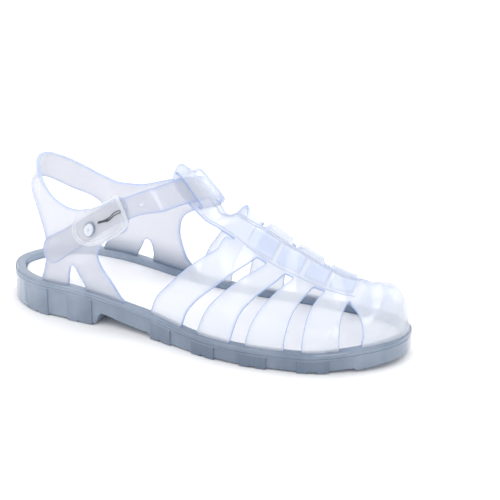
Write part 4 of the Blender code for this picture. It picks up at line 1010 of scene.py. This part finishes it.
class SANDAL_OT_cage(bpy.types.Operator):
    """Vamp moulded whole: toe cap, straps, T-bar spine with its woven blocks and loops"""
    bl_idname = "sandal.cage"
    bl_label = "Cage of the vamp"

    def execute(self, context):
        sizes = context.scene.sandal_sizes
        radius, grid = sizes.edge / MM, sizes.grid / MM
        loop = rounded(cage_outline(), CAGE_CORNER, OUTLINE_STEP)
        flat, tris, edge = flat_mesh([loop], edge_rows(radius), grid, pad_creases())
        p, n = vamp(flat[:, 0], flat[:, 1]), vamp_normals(flat[:, 0], flat[:, 1])
        base, drop = under_strap(p), rounding(edge, radius)
        up = raised(flat)
        outer = base + n * (up - drop)[:, None]
        # the spine and the top of the toe are bluer than the straps, and the loops are bluest; the toe's
        # blue is painted shade
        s, v = (flat[:, 0] + DOME_X) / SOLE_LENGTH, flat[:, 1] / PATTERN_HALF
        spine = (v > SPINE_OUTER[-2][1]) & (v < INNER_ROOT) & (s < SPINE_OUTER[-1][0])
        out = np.hypot(np.maximum(flat[:, 0], 0), flat[:, 1]) / PATTERN_HALF
        # painted shade: blue laid over the top front of the toe cap, fading towards its sides
        toe = ease((s - SPINE_OUTER[-1][0]) / 0.03) * (1 - ease((out - 0.45) / 0.4))
        blue_and_toe_shade = SPINE_BLUE * spine + PLAIT_BLUE * np.clip(up / LOOP_RISE, 0, 1) + TOE_PAINTED_SHADE * toe
        obj = shell_object("vamp_cage", tris, np.minimum(edge, EDGE_TINT * (1 - blue_and_toe_shade)), outer,
                           base - n * (WALL - drop)[:, None], "clear_pvc_upper")
        place_piece(obj, "upper_cage")
        return {"FINISHED"}


class SANDAL_OT_keeper(bpy.types.Operator):
    """Sleeve over the ankle strap at the top of the T-bar"""
    bl_idname = "sandal.keeper"
    bl_label = "Keeper"

    def execute(self, context):
        # height share and lift of the sleeve's section, over the strap and back under its roof
        foot = -STRAP_THICK - SADDLE_GAP - KEEPER_SINK
        low, top = LAP_GAP, LAP_GAP + KEEPER_WALL
        out = ((0.785, foot), (0.790, 0.26 * top), (0.803, 0.87 * top), (0.830, top), (0.985, top),
               (1.010, 0.87 * top), (1.024, 0.26 * top), (1.030, foot))
        back = ((1.010, foot), (1.007, 0.3 * low), (0.998, low), (0.822, low), (0.811, 0.3 * low),
                (0.808, foot))
        path = np.vstack([spline([(h * RISE_MM, d) for h, d in out], 5),
                          spline([(h * RISE_MM, d) for h, d in back], 5)])
        verts, m, n_out = [], len(path), len(out) * 5 - 4
        for t, rise in KEEPER_RIDGES:
            lift = path[:, 1] + SADDLE_LIFT
            lift[:n_out] += rise
            verts += list(on_ankle(np.full(m, KEEPER[0] + t * KEEPER[1]), path[:, 0] / RISE_MM, lift))
        last = (len(KEEPER_RIDGES) - 1) * m
        fan = [(i, i + 1, m - 1 - int((i + 1) * (m - n_out) / n_out), m - 1 - int(i * (m - n_out) / n_out))
               for i in range(n_out - 1)]
        strip = [tuple(dict.fromkeys(f)) for f in fan]
        faces = ring_faces(len(KEEPER_RIDGES), m)
        faces += [f[::-1] for f in strip] + [tuple(last + i for i in f) for f in strip]
        verts = np.array(verts)
        mask = np.repeat([1.0 if abs(t) > 0.95 else 0.8 if rise > 0.4 else 0.2
                          for t, rise in KEEPER_RIDGES], m)
        obj = make_object("strap_keeper", verts, faces_out(verts, faces), "clear_pvc_keeper",
                          {"edge": mask}, 50)
        place_piece(obj, "upper_cage")
        return {"FINISHED"}


class SANDAL_OT_counter(bpy.types.Operator):
    """Side panels with their legs, the back sling and the ankle strap with its pin holes"""
    bl_idname = "sandal.counter"
    bl_label = "Counter and straps"

    def execute(self, context):
        sizes = context.scene.sandal_sizes
        radius, grid = sizes.edge / MM, sizes.grid / MM
        loops = [ankle_loop(COUNTER, OUTLINE_STEP)]
        turn = np.radians(np.arange(0, 360, 30))
        for t, h in PIN_HOLES:
            loops.append(np.stack([t * TURN_MM + PIN_HOLE_RADIUS * np.cos(turn),
                                   h * RISE_MM + PIN_HOLE_RADIUS * np.sin(turn)], 1))
        flat, tris, edge = flat_mesh(loops, edge_rows(radius), grid)
        T, H = turn_and_height(flat)
        p, n = ankle(T, H), ankle_normals(T, H)
        lift, drop = smooth(STRAP_LIFT, T), rounding(edge, radius)
        wall = np.interp(T, WALL_TAPER, (WALL, STRAP_THICK))
        border = edge_distance(loops[:1], flat)
        # painted shade: the sole's colour painted up the foot of the side panels, fading with height and
        # weaker on the outer side
        share, height, outer = FOOT_PAINTED_SOLE_SHADE
        foot = share * np.clip(1 - H / height, 0, 1) ** 1.5 * np.where(T > 0, 1.0, outer)
        obj = shell_object("counter_and_straps", tris, border, p + n * (lift - drop)[:, None],
                           p + n * (lift - wall + drop)[:, None], "clear_pvc_counter_shaded", foot=foot)
        place_piece(obj, "heel_counter")
        return {"FINISHED"}


class SANDAL_OT_buckle(bpy.types.Operator):
    """Buckle plate with two raised rims, and its domed stud"""
    bl_idname = "sandal.buckle"
    bl_label = "Buckle"

    def execute(self, context):
        loop = ankle_loop(BUCKLE, PLATE_GRID / 2)
        flat, tris, edge = flat_mesh([loop], [d for d, z in BUCKLE_RIMS[1:]], PLATE_GRID)
        T, H = turn_and_height(flat)
        rise = np.interp(edge, *zip(*BUCKLE_RIMS))
        under = np.full(len(T), BUCKLE_UNDER) + rounding(edge, 0.4)
        obj = shell_object("buckle_plate", tris, edge, on_ankle(T, H, BUCKLE_TOP + rise),
                           on_ankle(T, H, under), "clear_pvc_buckle", PLATE_TINT)
        place_piece(obj, "buckle_frame")
        T, H, w, h, rise = STUD
        verts, m = [], 40
        a = np.linspace(0, 2 * np.pi, m, endpoint=False)
        for r, z in STUD_PROFILE:
            verts += list(on_ankle(T + r * w * np.cos(a) / TURN_MM, H + r * h * np.sin(a) / RISE_MM,
                                   np.full(m, BUCKLE_TOP + GAP + z * rise)))
        faces = capped_rings(len(STUD_PROFILE), m)
        # painted shade: the crown is pale, its dimple darker, and the side darkest
        mask = np.repeat([0.6 if r < 0.2 else 0.0 if z > 0.7 else 1.0 for r, z in STUD_PROFILE], m)
        obj = make_object("buckle_dome", verts, faces_out(verts, faces), "milky_pvc_stud",
                          {"edge": mask}, 50)
        place_piece(obj, "buckle_stud")
        return {"FINISHED"}


def tube(path, radius, sides=12):
    """Vertices and faces of a round rod with domed ends along a path."""
    path = np.asarray(path, float)
    t = unit(np.gradient(path, axis=0))
    dome = ((0.35, 0.94), (0.7, 0.71), (0.95, 0.3))
    rows = [(path[0] - t[0] * radius * c, t[0], s) for c, s in dome[::-1]]
    rows += [(p, d, 1.0) for p, d in zip(path, t)]
    rows += [(path[-1] + t[-1] * radius * c, t[-1], s) for c, s in dome]
    verts, a = [], np.cross(t[0], (0.0, 0.0, 1.0))
    for p, d, share in rows:
        a = a - d * (a @ d)
        a /= np.linalg.norm(a)
        b = np.cross(d, a)
        verts += [p + radius * share * (a * math.cos(w) + b * math.sin(w))
                  for w in np.linspace(0, 2 * np.pi, sides, endpoint=False)]
    return verts, capped_rings(len(rows), sides)


class SANDAL_OT_prong(bpy.types.Operator):
    """Wire prong, bent up over the rim of the buckle plate"""
    bl_idname = "sandal.prong"
    bl_label = "Prong"

    def execute(self, context):
        rows = spline(PRONG, 8)
        loop = rows[rows[:, 0] < PRONG_FOOT[1]]
        bend = np.linspace(-np.pi / 2, np.pi / 2, 7)[1:-1]
        tip = [(loop[-1][0] - PRONG_SPREAD * np.cos(a) / TURN_MM, loop[-1][1] + PRONG_SPREAD * np.sin(a)
                / RISE_MM, loop[-1][2]) for a in bend]
        shift = np.array((0.0, PRONG_SPREAD / RISE_MM, 0.0))
        hairpin = np.vstack([loop - shift, tip, (loop + shift)[::-1]])
        foot = rows[(rows[:, 0] < PRONG_FOOT[0]) & (rows[:, 0] > PRONG_FOOT[1] - 1.5)]
        verts, faces = [], []
        for line, radius in ((foot, FOOT_WIRE), (hairpin, PRONG_WIRE)):
            path = on_ankle(line[:, 0], line[:, 1], BUCKLE_TOP + line[:, 2])
            points, sides = tube(path, radius)
            faces += [tuple(i + len(verts) for i in f) for f in faces_out(points, sides)]
            verts += list(points)
        obj = make_object("buckle_wire", verts, faces, "plated_steel_wire", None, 60)
        place_piece(obj, "buckle_prong")
        return {"FINISHED"}


# Rails along the spine: arc share at each share of length; then their lift and share of blue
RAIL_OUTER = ((0.52, -0.25), (0.56, -0.268), (0.6, -0.285), (0.655, -0.332), (0.72, -0.348),
              (0.79, -0.35), (0.85, -0.352), (0.885, -0.372))
RAIL_INNER = ((0.52, -0.112), (0.6, -0.118), (0.7, -0.118), (0.8, -0.116), (0.885, -0.104))
RAIL_MIDDLE = ((0.545, -0.132), (0.6, -0.136), (0.7, -0.136), (0.8, -0.134), (0.88, -0.124))
RAIL_LIFT, RAIL_BLUE = 0.1, 0.45


def rail_tree():
    """Geometry Nodes that lay a round bead along each curve of the input."""
    tree = bpy.data.node_groups.new("spine_rail", "GeometryNodeTree")
    for name, way, kind in (("Geometry", "INPUT", "Geometry"), ("Radius", "INPUT", "Float"),
                            ("Material", "INPUT", "Material"), ("Geometry", "OUTPUT", "Geometry")):
        tree.interface.new_socket(name, in_out=way, socket_type="NodeSocket" + kind)
    given = tree.nodes.new("NodeGroupInput").outputs
    curve = add_node(tree, "MeshToCurve", {"Mesh": given["Geometry"]})
    ring = add_node(tree, "CurvePrimitiveCircle", {"Radius": given["Radius"], "Resolution": 10})
    bead = add_node(tree, "CurveToMesh", {"Curve": curve, "Profile Curve": ring, "Fill Caps": True})
    real = add_node(tree, "RealizeInstances", {"Geometry": bead})
    paint = add_node(tree, "SetMaterial", {"Geometry": real, "Material": given["Material"]})
    feed(tree, tree.nodes.new("NodeGroupOutput"), {"Geometry": paint})
    return tree


def run_tree(obj, tree, values):
    """Runs the tree on an object, inputs set by identifier, and keeps the result as a plain mesh
    object without a modifier."""
    mod = obj.modifiers.new("nodes", "NODES")
    mod.node_group = tree
    for item in tree.interface.items_tree:
        if item.in_out == "INPUT" and item.name in values:
            mod[item.identifier] = values[item.name]
    obj.update_tag()
    bpy.context.view_layer.update()
    mesh = bpy.data.meshes.new_from_object(obj.evaluated_get(bpy.context.evaluated_depsgraph_get()))
    name = obj.name
    bpy.data.objects.remove(obj)
    return linked(name, mesh)


class SANDAL_OT_rails(bpy.types.Operator):
    """Fine beads along both edges of the spine"""
    bl_idname = "sandal.rails"
    bl_label = "Rails of the spine"

    def execute(self, context):
        verts, edges = [], []
        for rows in (RAIL_OUTER, RAIL_INNER, RAIL_MIDDLE):
            line = spline(pattern(rows), 14)
            p = under_strap(vamp(line[:, 0], line[:, 1])) + vamp_normals(line[:, 0], line[:, 1]) * RAIL_LIFT
            edges += [(len(verts) + i, len(verts) + i + 1) for i in range(len(p) - 1)]
            verts += list((p - CENTRE) * MM)
        mesh = bpy.data.meshes.new("spine_rails")
        mesh.from_pydata([tuple(v) for v in verts], edges, [])
        obj = run_tree(linked("spine_rails", mesh), rail_tree(), {
            "Radius": context.scene.sandal_sizes.rail, "Material": materials()["clear_pvc_upper"]})
        obj.data.attributes.new("edge", "FLOAT", "POINT").data.foreach_set(
            "value", np.full(len(obj.data.vertices), RAIL_BLUE, "f"))
        obj.data.shade_smooth()
        place_piece(obj, "upper_cage")
        return {"FINISHED"}


# Area lights that look at the origin: place, width, share of the key power; then the air
LIGHTS = (("key_light", (-0.5, -1.0, 1.5), 1.2, 0.7), ("small_light", (0.55, -0.7, 1.1), 0.4, 0.25),
          ("top_light", (-0.3, 0.7, 1.6), 1.5, 0.9), ("rim_light", (0.7, 1.2, 0.9), 1.0, 0.7))
AIR = 0.91
# Camera: sensor in millimetres, lens and shift in frame widths, and the point it looks at
SENSOR, LENS, SHIFT = 36.0, 1361.76 / 500, ((250 - 202.34) / 500, (275.93 - 250) / 500)
TARGET = (129.0, 0.0, 30.0)


class SANDAL_OT_stage(bpy.types.Operator):
    """Pale floor, soft studio light and the camera"""
    bl_idname = "sandal.stage"
    bl_label = "Studio"

    def execute(self, context):
        stage, scene = context.scene.sandal_stage, context.scene
        bpy.ops.mesh.primitive_plane_add(size=12.0)
        floor = context.object
        floor.name = "studio_floor"
        floor.data.materials.append(materials()["matt_white_paper"])
        for name, place, width, share in LIGHTS:
            lamp = bpy.data.lights.new(name, "AREA")
            lamp.energy, lamp.size = stage.key * share, width
            obj = linked(name, lamp)
            obj.location = place
            obj.rotation_euler = Vector(place).to_track_quat("Z", "Y").to_euler()
        scene.world = scene.world or bpy.data.worlds.new("studio_air")
        scene.world.use_nodes = True
        tree = scene.world.node_tree
        feed(tree, tree.nodes["Background"], {"Color": (1.0, 1.0, 1.0, 1.0), "Strength": AIR})
        scene.view_settings.view_transform = "Standard"
        a, e = stage.azimuth, stage.elevation
        back = Vector((math.sin(a) * math.cos(e), -math.cos(a) * math.cos(e), math.sin(e)))
        cam = bpy.data.cameras.new("camera")
        cam.sensor_width, cam.lens = SENSOR, LENS * SENSOR
        cam.shift_x, cam.shift_y = SHIFT
        cam.clip_start = 0.01
        obj = linked("camera", cam)
        obj.location = Vector((np.array(TARGET) - CENTRE) * MM) + back * stage.distance
        obj.rotation_euler = back.to_track_quat("Z", "Y").to_euler()
        scene.camera = obj
        return {"FINISHED"}


class SANDAL_PT_panel(bpy.types.Panel):
    """Buttons and settings of the sandal"""
    bl_idname = "SANDAL_PT_panel"
    bl_label = "Jelly sandal"
    bl_space_type = "VIEW_3D"
    bl_region_type = "UI"
    bl_category = "Sandal"

    def draw(self, context):
        for operator in OPERATORS:
            self.layout.operator(operator.bl_idname)
        for group in (context.scene.sandal_sizes, context.scene.sandal_colours, context.scene.sandal_stage):
            box = self.layout.box()
            for key in group.__annotations__:
                box.prop(group, key)


GROUPS = {"sandal_sizes": SandalSizes, "sandal_colours": SandalColours, "sandal_stage": SandalStage}
OPERATORS = (SANDAL_OT_outsole, SANDAL_OT_insole, SANDAL_OT_cage, SANDAL_OT_rails, SANDAL_OT_keeper,
             SANDAL_OT_counter, SANDAL_OT_buckle, SANDAL_OT_prong, SANDAL_OT_stage)


def register():
    for cls in (*GROUPS.values(), *OPERATORS, SANDAL_PT_panel):
        bpy.utils.register_class(cls)
    for key, cls in GROUPS.items():
        setattr(bpy.types.Scene, key, bpy.props.PointerProperty(type=cls))


def unregister():
    for key in GROUPS:
        delattr(bpy.types.Scene, key)
    for cls in reversed((*GROUPS.values(), *OPERATORS, SANDAL_PT_panel)):
        bpy.utils.unregister_class(cls)


def main():
    register()
    for operator in OPERATORS:
        group, name = operator.bl_idname.split(".")
        getattr(getattr(bpy.ops, group), name)()


if __name__ == "__main__":
    main()
